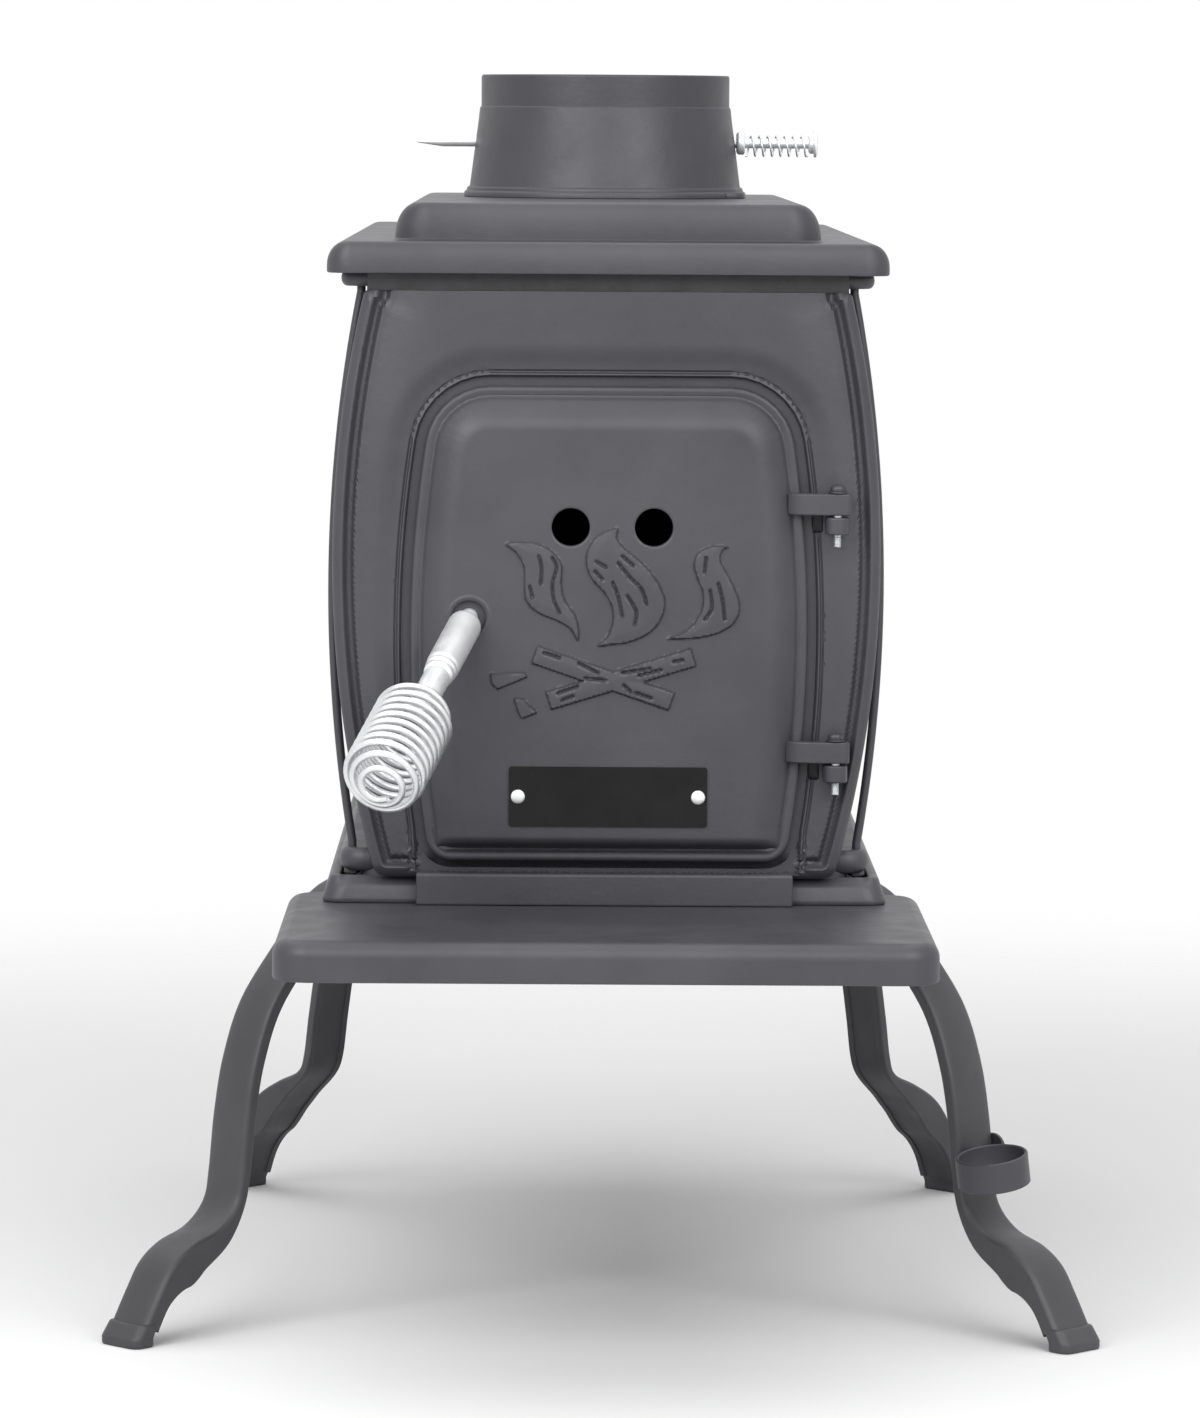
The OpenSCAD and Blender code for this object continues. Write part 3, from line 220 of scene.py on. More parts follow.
class Shape:
    """Points and faces of one piece in millimetres."""

    def __init__(self):
        self.local, self.points, self.faces, self.paints = [], [], [], []
        self.place = Matrix.Identity(4)
        self.paint = 0

    def add(self, points):
        first = len(self.points)
        for p in points:
            self.local.append(tuple(p))
            self.points.append(self.place @ Vector(p))
        return list(range(first, len(self.points)))

    def face(self, ids):
        self.faces.append(tuple(ids))
        self.paints.append(self.paint)

    def band(self, a, b, closed=True):
        n = len(a)
        for k in range(n if closed else n - 1):
            j = (k + 1) % n
            self.face((a[k], a[j], b[j], b[k]))

    def bands(self, rows, closed=True):
        for a, b in zip(rows, rows[1:]):
            self.band(a, b, closed)

    def rows(self, outline, steps):
        """Rings of an outline that takes a measure, at places in Y: (measure, y)."""
        return [self.add(at_y(outline(e), y)) for e, y in steps]

    def loft(self, rings, around=False, ends=True):
        """Skin over rings of equal length, joined round or with end faces."""
        ids = [self.add(r) for r in rings]
        self.bands(ids)
        if around:
            self.band(ids[-1], ids[0])
        elif ends:
            self.face(ids[0])
            self.face(reversed(ids[-1]))
        return ids

    def lathe(self, profile, n, around=False):
        """Turn (r, z) points about Z; a radius of 0 makes a pole."""
        rows = [self.add(at_z(circle(0, 0, r, n) if r > 1e-6 else [(0, 0)], z)) for r, z in profile]
        for a, b in list(zip(rows, rows[1:])) + ([(rows[-1], rows[0])] if around else []):
            if len(a) == len(b):
                self.band(a, b)
            else:
                (pole,), ring = (a, b) if len(a) == 1 else (b, a)
                for k in range(n):
                    self.face((pole, ring[k], ring[(k + 1) % n]))

    def fill(self, outer, holes=(), drop=1, inner=(), lift=None):
        """Triangles between an outer ring and its holes, with inner points raised by lift."""
        keep = [k for k in range(3) if k != drop]
        flat, edges, source, loops = [], [], [], []
        for loop in [outer] + list(holes):
            start = len(flat)
            loops.append([(self.local[i][keep[0]], self.local[i][keep[1]]) for i in loop])
            flat += [Vector(p) for p in loops[-1]]
            source += list(loop)
            edges += [(start + k, start + (k + 1) % len(loop)) for k in range(len(loop))]
        if len(inner):
            level = self.local[outer[0]][drop]
            extra = []
            for (a, b), h in zip(inner, lift):
                p = [0.0, 0.0, 0.0]
                p[keep[0]], p[keep[1]], p[drop] = a, b, level + h
                extra.append(p)
            source += self.add(extra)
            flat += [Vector((float(a), float(b))) for a, b in inner]
        _, _, faces, origin, _, _ = delaunay_2d_cdt(flat, edges, [], 1, 1e-7)
        tris = [f for f in faces if all(origin[k] for k in f)]
        mids = np.array([[sum(flat[origin[k][0]][c] for k in f) / len(f) for c in (0, 1)]
                         for f in tris])
        gone = np.zeros(len(tris), bool)
        for poly in loops[1:]:
            gone |= inside(*mids.T, poly)
        for f, out in zip(tris, gone):
            if not out:
                self.face([source[origin[k][0]] for k in f])

    def prism(self, outline, lo, hi, soft=0.8, axis=2):
        """Outline pushed from lo to hi along an axis, its edges rounded."""
        if sum(a[0] * b[1] - a[1] * b[0] for a, b in zip(outline, outline[1:] + outline[:1])) < 0:
            outline = outline[::-1]
        turns = [q * pi / 2 for q in (0.0, 0.33, 0.66, 1.0)]
        levels = [(soft * (1 - sin(a)), lo + soft * (1 - cos(a))) for a in turns]
        levels += [(soft * (1 - cos(a)), hi - soft * (1 - sin(a))) for a in turns]
        at = {0: lambda u, v, w: (w, u, v), 1: lambda u, v, w: (u, w, v),
              2: lambda u, v, w: (u, v, w)}[axis]
        self.loft([[at(u, v, w) for u, v in inset(outline, e)] for e, w in levels])

    def tube(self, path, r, sides, out, closed=False, shape=None):
        """Round or shaped wire along a path, its sections' first point on the side of out."""
        pts = [Vector(p) for p in path]
        n, rings = len(pts), []
        for i in range(n):
            a = pts[(i - 1) % n] if closed or i else pts[0]
            b = pts[(i + 1) % n] if closed or i < n - 1 else pts[-1]
            t, normal = (b - a).normalized(), Vector(out[i])
            normal = (normal - normal.dot(t) * t).normalized()
            side = t.cross(normal)
            section = [shape(i, k / sides) for k in range(sides)] if shape else \
                circle(0, 0, r, sides)
            rings.append([tuple(pts[i] + normal * u + side * v) for u, v in section])
        self.loft(rings, around=closed)


def finish(shape, name, node, body="stove_body", slot="black_iron", materials=None):
    """Make the object of a shape, hang it on its body's empty and hide the solid part it stands
    for.
    """
    mesh = bpy.data.meshes.new(name)
    mesh.from_pydata([p * MM for p in shape.points], [], shape.faces)
    for m in materials or [MATERIALS[slot]]:
        mesh.materials.append(m)
    mesh.polygons.foreach_set("material_index", shape.paints)
    work = bmesh.new()
    work.from_mesh(mesh)
    bmesh.ops.remove_doubles(work, verts=work.verts, dist=1e-6)
    loose = [v for v in work.verts if not v.link_faces]
    bmesh.ops.delete(work, geom=loose, context="VERTS")
    bmesh.ops.recalc_face_normals(work, faces=work.faces)
    work.to_mesh(mesh)
    work.free()
    mesh.shade_smooth()
    mesh.set_sharp_from_angle(angle=radians(SHARP))
    obj = bpy.data.objects.new(name, mesh)
    bpy.context.scene.collection.objects.link(obj)
    weighted = obj.modifiers.new("even_normals", "WEIGHTED_NORMAL")
    weighted.keep_sharp = True
    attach(obj, body)
    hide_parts(node)


def repeated(name, node, places, build, body="stove_body", slot="dark_steel", materials=None):
    """Piece built the same way at each of its places."""
    s = Shape()
    for place in places:
        s.place = place
        build(s)
    finish(s, name, node, body, slot, materials)


def moved(*steps):
    """Matrix of turns ('x', degrees) and moves (x, y, z), first one outermost."""
    m = Matrix.Identity(4)
    for s in steps:
        m = m @ (Matrix.Rotation(radians(s[1]), 4, s[0].upper()) if isinstance(s[0], str)
                 else Matrix.Translation(s))
    return m


def crown(r, h, z):
    """Profile of a dome on a head's rim, up to its pole."""
    return [(r * cos(radians(a)), z + h * sin(radians(a))) for a in range(12, 90, 13)] + \
        [(0, z + h)]


def domed(d, l, head_d, head_h):
    """Profile of a bolt with a domed head, from its shank's end to its crown."""
    return [(0, -l), (d / 2 - 0.6, -l), (d / 2, -l + 0.6), (d / 2, 0), (head_d / 2 - 0.15, 0),
            (head_d / 2, 0.2), (head_d / 2, head_h * 0.36)] + \
        crown(head_d / 2, head_h * 0.64, head_h * 0.36)


def hex_nut(shape, d, h, hole, z=0.0, turn=0.0):
    """Chamfered hexagonal nut round a bolt."""
    r, flat = d / 2, d / 2 * cos(pi / 6)
    top, bore = flat * 0.97, hole + 0.4
    rows = []
    for k in range(36):
        a = 2 * pi * k / 36 + turn
        edge = flat / cos((a - turn) % (pi / 3) - pi / 6)
        rows.append((a, edge, max(edge - (r + flat) / 2, 0) * 0.58))

    def ring(limit, height, chamfer=0):
        """The hexagon up to a radius, its corners moved in height by the chamfer."""
        return [(min(edge, limit) * cos(a), min(edge, limit) * sin(a), height + chamfer * cut)
                for a, edge, cut in rows]
    shape.loft([ring(*step) for step in (
        (bore, z), (top, z), (r, z + 0.25, 1), (r, z + h - 0.25, -1), (top, z + h),
        (bore, z + h), (hole, z + h - 0.4), (hole, z + 0.4))], around=True)


# ------------------------------------------------------------------ materials

def ramp(nodes, links, pattern, stops, socket):
    """Colours at two values of a pattern, into a shader's socket."""
    node = nodes.new("ShaderNodeValToRGB")
    for element, (at, colour) in zip(node.color_ramp.elements, stops):
        element.position = at
        element.color = (*colour, 1.0)
    links.new(pattern, node.inputs["Fac"])
    links.new(node.outputs["Color"], socket)


def grey(v):
    return (v, v, v)


def noise(nodes, links, coords, scale, detail=3.0, rough=0.55):
    node = nodes.new("ShaderNodeTexNoise")
    node.inputs["Scale"].default_value = scale
    node.inputs["Detail"].default_value = detail
    node.inputs["Roughness"].default_value = rough
    links.new(coords, node.inputs["Vector"])
    return node.outputs["Fac"]


def surface(name, tones, rough, grain, metallic=0.0, specular=0.5, patch=9.0):
    """Material with tone patches, uneven roughness and bumps at two or three sizes."""
    mat = bpy.data.materials.new(name)
    mat.use_nodes = True
    nodes, links = mat.node_tree.nodes, mat.node_tree.links
    shader = nodes["Principled BSDF"]
    shader.inputs["Metallic"].default_value = metallic
    shader.inputs["Specular IOR Level"].default_value = specular
    where = nodes.new("ShaderNodeTexCoord").outputs["Object"]
    ramp(nodes, links, noise(nodes, links, where, patch, 4.0, 0.6),
         [(0.34, tones[0]), (0.66, tones[1])], shader.inputs["Base Color"])
    ramp(nodes, links, noise(nodes, links, where, patch * 4.5),
         [(0.3, grey(rough[0])), (0.7, grey(rough[1]))], shader.inputs["Roughness"])
    normal = None
    for scale, strength, depth in grain:
        bump = nodes.new("ShaderNodeBump")
        bump.inputs["Strength"].default_value = strength
        bump.inputs["Distance"].default_value = depth
        links.new(noise(nodes, links, where, scale, 2.0), bump.inputs["Height"])
        if normal:
            links.new(normal, bump.inputs["Normal"])
        normal = bump.outputs["Normal"]
    links.new(normal, shader.inputs["Normal"])
    return mat


CAST_SKIN = ((30.0, 0.30, 0.0016), (300.0, 0.22, 0.0005), (1400.0, 0.20, 0.00014))
IRON = surface("iron_paint", ((0.042, 0.041, 0.0495), (0.0595, 0.0585, 0.068)), (0.40, 0.50),
               CAST_SKIN)
# Painted shade: the legs get a darker copy of the iron paint, standing in for the shade on their
# slanted faces
SHADED_LEG_IRON = surface("leg_paint_shaded", ((0.036, 0.0355, 0.0405), (0.053, 0.0525, 0.0585)), (0.42, 0.52),
                   CAST_SKIN, patch=14.0)
# Blackened steel of the fasteners; also painted shade, on the sheet in the slot above the front
# plate
DARK_STEEL_AND_SLOT_SHADE = surface("blackened_steel_and_slot_shade", ((0.030, 0.030, 0.033), (0.055, 0.055, 0.06)), (0.28, 0.42),
               ((500.0, 0.2, 0.0002), (2200.0, 0.12, 0.00008)), patch=60.0)
ZINC = surface("zinc", ((0.84, 0.85, 0.86), (0.93, 0.935, 0.94)), (0.30, 0.44),
               ((300.0, 0.08, 0.0002), (1800.0, 0.10, 0.00006)), metallic=0.55, patch=45.0)
# Painted shade: a darker copy of the zinc for wire, standing in for the shade between the grip's
# turns; the spring and the pins' shanks use it too
SHADED_WIRE_ZINC = surface("zinc_wire_shaded", ((0.66, 0.67, 0.68), (0.80, 0.81, 0.82)), (0.26, 0.38),
               ((300.0, 0.08, 0.0002), (1800.0, 0.10, 0.00006)), metallic=0.8, patch=45.0)
SHEET = surface("black_sheet", ((0.006, 0.006, 0.007), (0.011, 0.011, 0.012)), (0.20, 0.28),
                ((900.0, 0.05, 0.00005), (60.0, 0.08, 0.0003)), specular=0.22, patch=30.0)
ROPE = surface("rope", ((0.24, 0.23, 0.21), (0.34, 0.33, 0.30)), (0.85, 0.95),
               ((900.0, 0.5, 0.0004), (2600.0, 0.4, 0.0002)), specular=0.2, patch=80.0)
MATERIALS = {"black_iron": IRON, "dark_steel": DARK_STEEL_AND_SLOT_SHADE, "zinc_steel": ZINC,
             "black_sheet": SHEET, "rope": ROPE}


# ------------------------------------------------------------------ body castings

def corner_name(side, front):
    return ("front" if front else "rear") + ("_left" if side < 0 else "_right")


def plan(box, z, e=0.0, front=1.0):
    """Ring of a flat casting at a height, moved in by e and in front by a share of it."""
    x, y0, y1, r = box
    return at_z(rounded(x - e, y0 + front * e, y1 - e, r - e), z)


def rolled(box, z0, z1, edge_in, edge_h, n, foot=0.0, front=1.0):
    """Rings of a flat casting with a rounded upper edge, steeper in front."""
    rings = [plan(box, z0)]
    if foot:
        rings = [plan(box, z0, foot), plan(box, z0 + foot * 0.3, foot * 0.3),
                 plan(box, z0 + foot)]
    return rings + [plan(box, z1 - edge_h * (1 - sin(a)), edge_in * (1 - cos(a)), front)
                    for a in spread(0, pi / 2, n)]


def half_round(box, z0, z1, n):
    """Rings of a plate with a half-round edge."""
    r = (z1 - z0) / 2
    return [plan(box, z0 + r + r * sin(a), 0.7 * r * (1 - cos(a)))
            for a in spread(-pi / 2, pi / 2, n)]


def base_casting():
    """Tray: skirt and floor, inner wall, ledge for the plates, apron under the door."""
    s = Shape()

    def skirt(z, e, dip=0):
        """Ring of the wall, wider towards its foot, lower by dip along the front."""
        flare = 10 * (LEDGE_Z - z) / 30
        ring = rounded(LEDGE_X + flare - e, FRONT_IN - flare * 0.6 + e,
                       BACK_IN + flare * 0.6 - e, max(12 - e, 2))
        return [(x, y, z - dip * float(soft_step((FRONT_IN + 1.5 - y) / 3))) for x, y in ring]
    s.loft([skirt(*step) for step in (
        (BASE_Z, 2.2), (251.4, 1.0), (252.6, 0.2), (254, 0), (260, 0), (264.6, 0, 3.5),
        (265.6, 0.5, 3.5), (266, 1.4, 3.5), (266, 4.8, 3.5), (265.4, 5.8, 3.5), (260, 6),
        (257.3, 6.2), (257, 7))])
    outer = (134.8, FRONT_IN + 1, BACK_IN - 1, 10)
    inner = (128.8, FRONT_IN + 7, BACK_IN - 7, 8)
    s.loft([plan(outer, 256.5), plan(outer, 270.5), plan(inner, 270.5), plan(inner, 256.5)],
           around=True)
    low = LEDGE_UNDER - 2.2  # scene only: as deep as in the photograph
    s.loft([plan(MOUTH, low, -0.8)] + half_round(LEDGE, low, LEDGE_Z, 11)
           + [plan(MOUTH, LEDGE_Z, -1), plan(MOUTH, LEDGE_Z - 1), plan(MOUTH, low + 0.8)],
           around=True)
    apron = [(-264, 252.5), (-263.7, 251.5), (-262.6, BASE_Z), (-218, BASE_Z), (-218, 265.5),
             (-260.3, 265.5), (-260.4, 268.4), (-260.8, 269.1), (-261.5, 269.4), (-262.6, 269.1),
             (-263.5, 268.3), (-264, 267.0)]
    s.prism(apron, -104, 104, 1.1, axis=0)
    finish(s, "base_casting", "base")


# Section of the front plate's border by distance from its edge, and of the door's recess
RIM = [(0, -254.6), (0.4, -255.8), (1.2, -257.0), (2.4, -258.2), (3.6, -259.2), (4.6, -259.8),
       (5.3, -260.0), (5.9, -259.7), (6.5, -258.8), (7.1, -257.3), (7.7, -256.1), (8.5, -255.4),
       (9.4, -255.2), (10.2, -255.4), (10.9, -256.2), (11.5, -257.5), (12.0, -258.3),
       (12.5, -258.6), (13.2, -258.6), (14.5, -258.4)]
RECESS = [(4.4, -255.0), (4.9, -255.1), (5.2, -256.0), (5.4, -257.4), (5.7, -258.4),
          (6.2, -258.8), (6.8, -258.7), (7.2, -258.0), (7.6, -257.2), (8.1, -257.1),
          (8.6, -257.6), (9.2, -258.3)]


def front_outline(e):
    return body_outline(e, SLOT_Z + e)


def flanks(ring):
    """The outline without its top edge, from the upper left down and round."""
    half = len(ring) // 2
    return ring[half:] + ring[:half]


def dense(ring, n=60):
    """The outline with more points along its straight top and bottom edges."""
    half = len(ring) // 2
    top = [(x, ring[half][1]) for x in spread(ring[half - 1][0], ring[half][0], n)[1:-1]]
    low = [(x, ring[0][1]) for x in spread(ring[-1][0], ring[0][0], n)[1:-1]]
    return ring[:half] + top + ring[half:] + low


def door_flanks():
    """Door outline without its bottom: straight down, up one side, over, and down again."""
    ring, corner = door_outline(0), 9
    half = len(ring) // 2
    line = ring[corner - 1:half] + ring[half:1 - corner]
    return [(line[0][0] - 2, 250.0)] + line + [(line[-1][0] + 2, 250.0)]


def refined(ring, step):
    """Closed outline with points about a step apart along its longer edges."""
    out = []
    for a, b in zip(ring, ring[1:] + ring[:1]):
        n = max(1, int(hypot(b[0] - a[0], b[1] - a[1]) / step))
        out += [(a[0] + (b[0] - a[0]) * k / n, a[1] + (b[1] - a[1]) * k / n) for k in range(n)]
    return out


def front_face(x, z):
    """How far forward the front plate's face stands, by place."""
    (rim_end, rim_y), (recess_end, recess_y) = RIM[-1], RECESS[-1]
    edge = distance(x, z, flanks(front_outline(0)), closed=False)
    line = door_flanks()
    door = distance(x, z, line, closed=False) * np.where(inside(x, z, line), -1, 1)
    field = rim_y - 3.5 * np.sin(np.clip((edge - rim_end) / 24, 0, 1) * pi / 2)
    near = soft_step((door - recess_end) / 13)
    field = field * near + recess_y * (1 - near)
    y = np.where(edge < rim_end, np.interp(edge, *zip(*RIM)), field)
    return np.where(door < recess_end, np.interp(door, *zip(*RECESS)), y)


def front_casting():
    s = Shape()
    lip = -257.9  # the face where it starts, along the plate's outline
    sill = RECESS[0][1]
    limit, hole = dense(front_outline(2.0)), door_outline(-RECESS[0][0])
    outline = s.rows(lambda e: dense(front_outline(e)),
                     [(0.6, FRONT_IN), (0, FRONT_IN - 0.6)] + RIM[:3])
    level = front_face(*(np.array(limit) - (0, 1.0)).T)
    outline.append(s.add([(x, y if z > SLOT_Z - 0.5 else lip, z)
                          for (x, z), y in zip(limit, level)]))
    s.bands(outline)
    inner = [s.add(at_y(hole, sill)),
             s.add([(x, -251.4 if z < 277 else sill, z) for x, z in door_outline(-3.9)])]
    inner += s.rows(door_outline, ((2.4, sill), (13.6, sill), (14.3, -254.7), (14.5, -254.1),
                                   (14.5, FRONT_IN)))
    s.bands(inner)
    # Points along the border's and the recess's steps, then a grid between them
    rows = [p for e, _ in RIM[4:] for p in refined(front_outline(e), 3.0)]
    rows += [p for d, _ in RECESS[1:] for p in refined(door_outline(-d), 3.0)]
    for d, _ in RECESS[1:]:
        for q, (x, z) in ((1, door_flanks()[0]), (-1, door_flanks()[-1])):
            rows += [(x + q * (d + (v - z) * 0.06), v) for v in spread(268, 286, 7)]
    rows = np.array(rows)
    rows = rows[inside(*rows.T, limit) & ~inside(*rows.T, hole)]
    rows = rows[np.minimum(distance(*rows.T, limit), distance(*rows.T, hole)) > 0.25]
    grid = face_grid(limit, 2.6)
    edge = distance(*grid.T, flanks(front_outline(2.0)), closed=False)
    door = distance(*grid.T, hole)
    grid = grid[~inside(*grid.T, hole) & (edge > 13.5) & (door > 6)]
    spots = np.concatenate([rows, grid])
    pockets = []  # dark ones between the recess and the hinge knuckles
    for z in ARM_Z:
        out = bow_x(z - 4, DOOR_X + DOOR_W / 2, DOOR_BOW, DOOR_MID) + 4.4
        pit = [(out + 3.6 + x, v) for x, v in rounded(2.9, z - 10.2, z + 2, 1.6, 6)]
        level = front_face(*np.array(pit).T)
        spots = spots[(distance(*spots.T, pit) > 0.25) & ~inside(*spots.T, pit)]
        rims = [s.add([(x, y, v) for (x, v), y in zip(pit, level)])]
        rims += s.rows(lambda e: inset(pit, e), ((0.2, -253.6), (0.6, FRONT_IN - 0.5)))
        s.bands(rims)
        s.face(rims[-1])
        pockets.append(rims[0])
    s.fill(outline[-1], [inner[0]] + pockets, inner=spots, lift=front_face(*spots.T) - lip)
    s.fill(outline[0], [inner[-1]])
    s.paint = 1  # painted shade: a thin dark sheet stands in the slot above the plate, where there is only shadow
    s.prism([(-132.6, SLOT_Z - 6), (132.6, SLOT_Z - 6), (132.2, TOP_Z), (-132.2, TOP_Z)],
            FRONT_IN - 0.3, FRONT_IN - 0.1, -0.01, axis=1)
    s.paint = 0
    s.place = moved((HINGE_X, HINGE_Y, 0))
    for z in ARM_Z:
        s.prism(circle(0, 0, 6.7, 44), z - 10.4, z - 0.9, 1.0)
        web = [(-5.4, 2), (5.4, 2), (5.7, 7), (7.4, 11.5), (-7.4, 11.5), (-5.7, 7)]
        s.prism(web, z - 10.2, z - 1.1, 0.8)
    finish(s, "front_casting", "front_plate", materials=[IRON, DARK_STEEL_AND_SLOT_SHADE])


def back_casting():
    s = Shape()
    s.loft([at_y(body_outline(e), y) for e, y in (
        (0.6, BACK_IN), (0, 411.1), (0, 416.0), (0.5, 417.0), (1.6, 417.5), (10.6, 417.5),
        (11.8, 417.1), (12.4, 416.2), (13.0, 415.6), (14.0, 415.5), (40, 415.5), (41, 416.2),
        (43, 416.6), (45, 416.2), (46, 415.5))])
    finish(s, "back_casting", "back_plate")


def side_casting(side):
    """Bowed side plate with a raised field and a bead round it."""
    s = Shape()
    wall, inset_by = 10, 4
    lo, hi = LEDGE_Z + 0.02, RIM_Z - 0.02
    borders = [0, 0.5, 1.2, 12, 24, 27.5, 28.3, 29.1, 30, 31, 32, 33.2, 36, 38.5, 39.3, 40.3, 41.3,
               42.1, 45]

    def steps(a, b, n):
        """Places from a to b: close together in both borders, n between them."""
        return [a + v for v in borders] + spread(a + 52, b - 52, n) + [b - v for v in borders[::-1]]
    zs, ys = steps(lo, hi, 22), steps(FRONT_IN, BACK_IN, 30)

    def height(y, z):
        d = min(z - lo, hi - z, y - FRONT_IN, BACK_IN - y)
        field = 1.35 * float(soft_step((d - 28) / 4))
        bead = 0.9 * max(0.0, 1 - ((d - 40.3) / 2.0) ** 2)
        edge = -0.8 * (1 - float(soft_step(d / 1.2)))
        return field - (bead if 38 < d < 43 else 0) * 0.9 + edge

    def skin(depth):
        return [s.add([(side * bow_x(z, BODY_W / 2, BODY_BOW, BODY_MID, depth(y, z)), y, z)
                       for y in ys]) for z in zs]
    front, back = skin(lambda y, z: inset_by - height(y, z)), skin(lambda y, z: wall)
    for grid in (front, back):
        s.bands(grid, closed=False)
    for k in (0, -1):
        s.band(front[k], back[k], closed=False)
    for k in (0, -1):
        s.band([r[k] for r in front], [r[k] for r in back], closed=False)
    word = "right" if side > 0 else "left"
    finish(s, "side_casting_" + word, "side_" + word)


def top_casting():
    s = Shape()
    hollow, wall = (98, -218, 242, 8), 6
    rows = [plan(MOUTH, RIM_Z + 0.02)] + half_round((*LEDGE[:3], 12), RIM_Z, TOP_Z + 1.5, 9)[:7]
    rows.append(at_z(rounded(LEDGE_X - 0.6, FRONT_IN + 0.6, BACK_IN - 0.6, 12), TOP_Z))
    rows += rolled(TOP, TOP_Z, PLATFORM_Z, 11, 13, 12, foot=1.0, front=0.4)
    rows += [plan(PLATFORM, PLATFORM_Z, -2.5), plan(PLATFORM, PLATFORM_Z + 0.4, -1)]
    rows += rolled(PLATFORM, PLATFORM_Z + 1.4, FLANGE_Z, 13, 19, 14, front=0.35)
    ids = s.loft(rows, ends=False)
    hole = circle(0, COLLAR_Y, 65, 64)
    hole_top, hole_low = s.add(at_z(hole, FLANGE_Z)), s.add(at_z(hole, FLANGE_Z - wall))
    s.band(hole_top, hole_low)
    s.fill(ids[-1], [hole_top], drop=2)
    cave = [s.add(plan(hollow, FLANGE_Z - wall)), s.add(plan(hollow, PLATFORM_Z - wall)),
            s.add(plan(MOUTH, PLATFORM_Z - wall))]
    s.fill(cave[0], [hole_low], drop=2)
    s.bands(cave + ids[:1])
    finish(s, "top_casting", "top_plate")


def collar_casting():
    s = Shape()
    s.place = moved((0, COLLAR_Y, 0))
    n, out, ear_r = 160, 84.0, 10

    def flange(e, z):
        """Ring of the flange with its two ears, e inside its edge."""
        pts = []
        for k in range(n):
            a = 2 * pi * k / n
            r = out
            for ear in EARS:
                d = (a - radians(ear) + pi) % (2 * pi) - pi
                across = EAR_X * sin(abs(d))
                if abs(d) < pi / 2 and across < ear_r:
                    r = max(r, EAR_X * cos(d) + sqrt(ear_r ** 2 - across * across))
            pts.append(((r - e) * cos(a), (r - e) * sin(a), z))
        return pts
    edge = [(0.4, 637.41), (0, 637.8), (0, 639.3), (0.25, 640.2), (0.8, 641.0), (1.7, 641.4)]
    wall = [(82.3, 641.41), (82.2, 642.6), (81.9, 643.1), (81.4, 643.4), (80.9, 643.6),
            (80.45, 644.4), (77.4, 668.0), (75.4, 683), (74.65, 690.0), (74.3, 690.7),
            (73.8, 691.2), (73.8, 708.2), (73.55, 709.2), (73.0, 709.7), (67.8, 709.7),
            (67.1, 709.2), (67, 708.4), (67, 672)]
    s.loft([at_z(circle(0, 0, 67, n), edge[0][1])] + [flange(e, z) for e, z in edge]
           + [at_z(circle(0, 0, r, n), z) for r, z in wall], around=True)
    finish(s, "collar_casting", "flue_collar")


def grate_casting():
    s = Shape()
    lo, hi, x, y0, y1, bars = 262.0, 270.0, 95.5, FRONT_IN + 34, BACK_IN - 34, 16
    pitch = (y1 - y0 - 24) / bars
    edge = [s.add(plan((x, y0, y1, 10), z, e)) for e, z in
            ((0.8, lo), (0, lo + 0.8), (0, hi - 1.2), (0.4, hi - 0.35), (1.2, hi))]
    s.bands(edge)
    slots = []
    for i in range(bars):
        for side in (-1, 1):
            cx, cy, half = side * x / 2, y0 + 12 + pitch * (i + 0.5), pitch * 0.225
            rows = [s.add([(cx + u, cy + v, z) for u, v in
                           rounded((x - 22) / 2 + e, -half - e, half + e, 3.5, 4)])
                    for e, z in ((0.9, hi), (0, hi - 0.9), (0, lo))]
            s.bands(rows)
            slots.append(rows)
    s.fill(edge[-1], [rows[0] for rows in slots], drop=2)
    s.fill(edge[0], [rows[-1] for rows in slots], drop=2)
    for side in (-1, 1):
        for y in (y0 + 14, y1 - 14):
            s.place = moved((side * (x - 8), y, 0))
            s.lathe([(0, 257.05), (4.4, 257.05), (5, 257.6), (5, 262.3), (0, 262.3)], 24)
    finish(s, "grate_casting", "firebox_grate")


def shelf_casting():
    s = Shape()
    rows = [plan(SHELF, 230.2, 5), plan(SHELF, 229.2, 4.4)]
    rows += rolled(SHELF, 229.02, BASE_Z, 8, 9, 12, foot=1.4)
    s.loft(rows[::-1] + [plan(SHELF, 244, 5), plan(SHELF, 246, 7)])
    finish(s, "shelf_casting", "front_shelf")


def tie_rod(side, front):
    s = Shape()
    y = ROD_FRONT if front else ROD_REAR
    low, high = LEDGE_Z + 3, RIM_Z - 3
    path = [(rod_x(low), z) for z in (261.0, 261.6, LEDGE_Z + 0.2)]
    path += [(rod_x(z), z) for z in spread(low, high, 40)]
    path += [(rod_x(high), z) for z in (RIM_Z - 0.2, RIM_Z + 12)]
    s.tube([(side * x, y, z) for x, z in path], 2.4, 16, out=[(0, -1, 0)] * len(path))
    finish(s, "rod_" + corner_name(side, front), "tie_rod_" + corner_name(side, front))


def threads(s, r, z0, z1):
    """Turned thread crests on a shank along Z."""
    pitch, depth = 0.95, 0.34
    rows, z = [], z0
    while z < z1:
        rows += [(r - depth, z), (r, z + pitch * 0.42), (r, z + pitch * 0.58)]
        z += pitch
    rows.append((r - depth, z1))
    s.lathe([(0, z0)] + rows + [(0, z1)], 32)


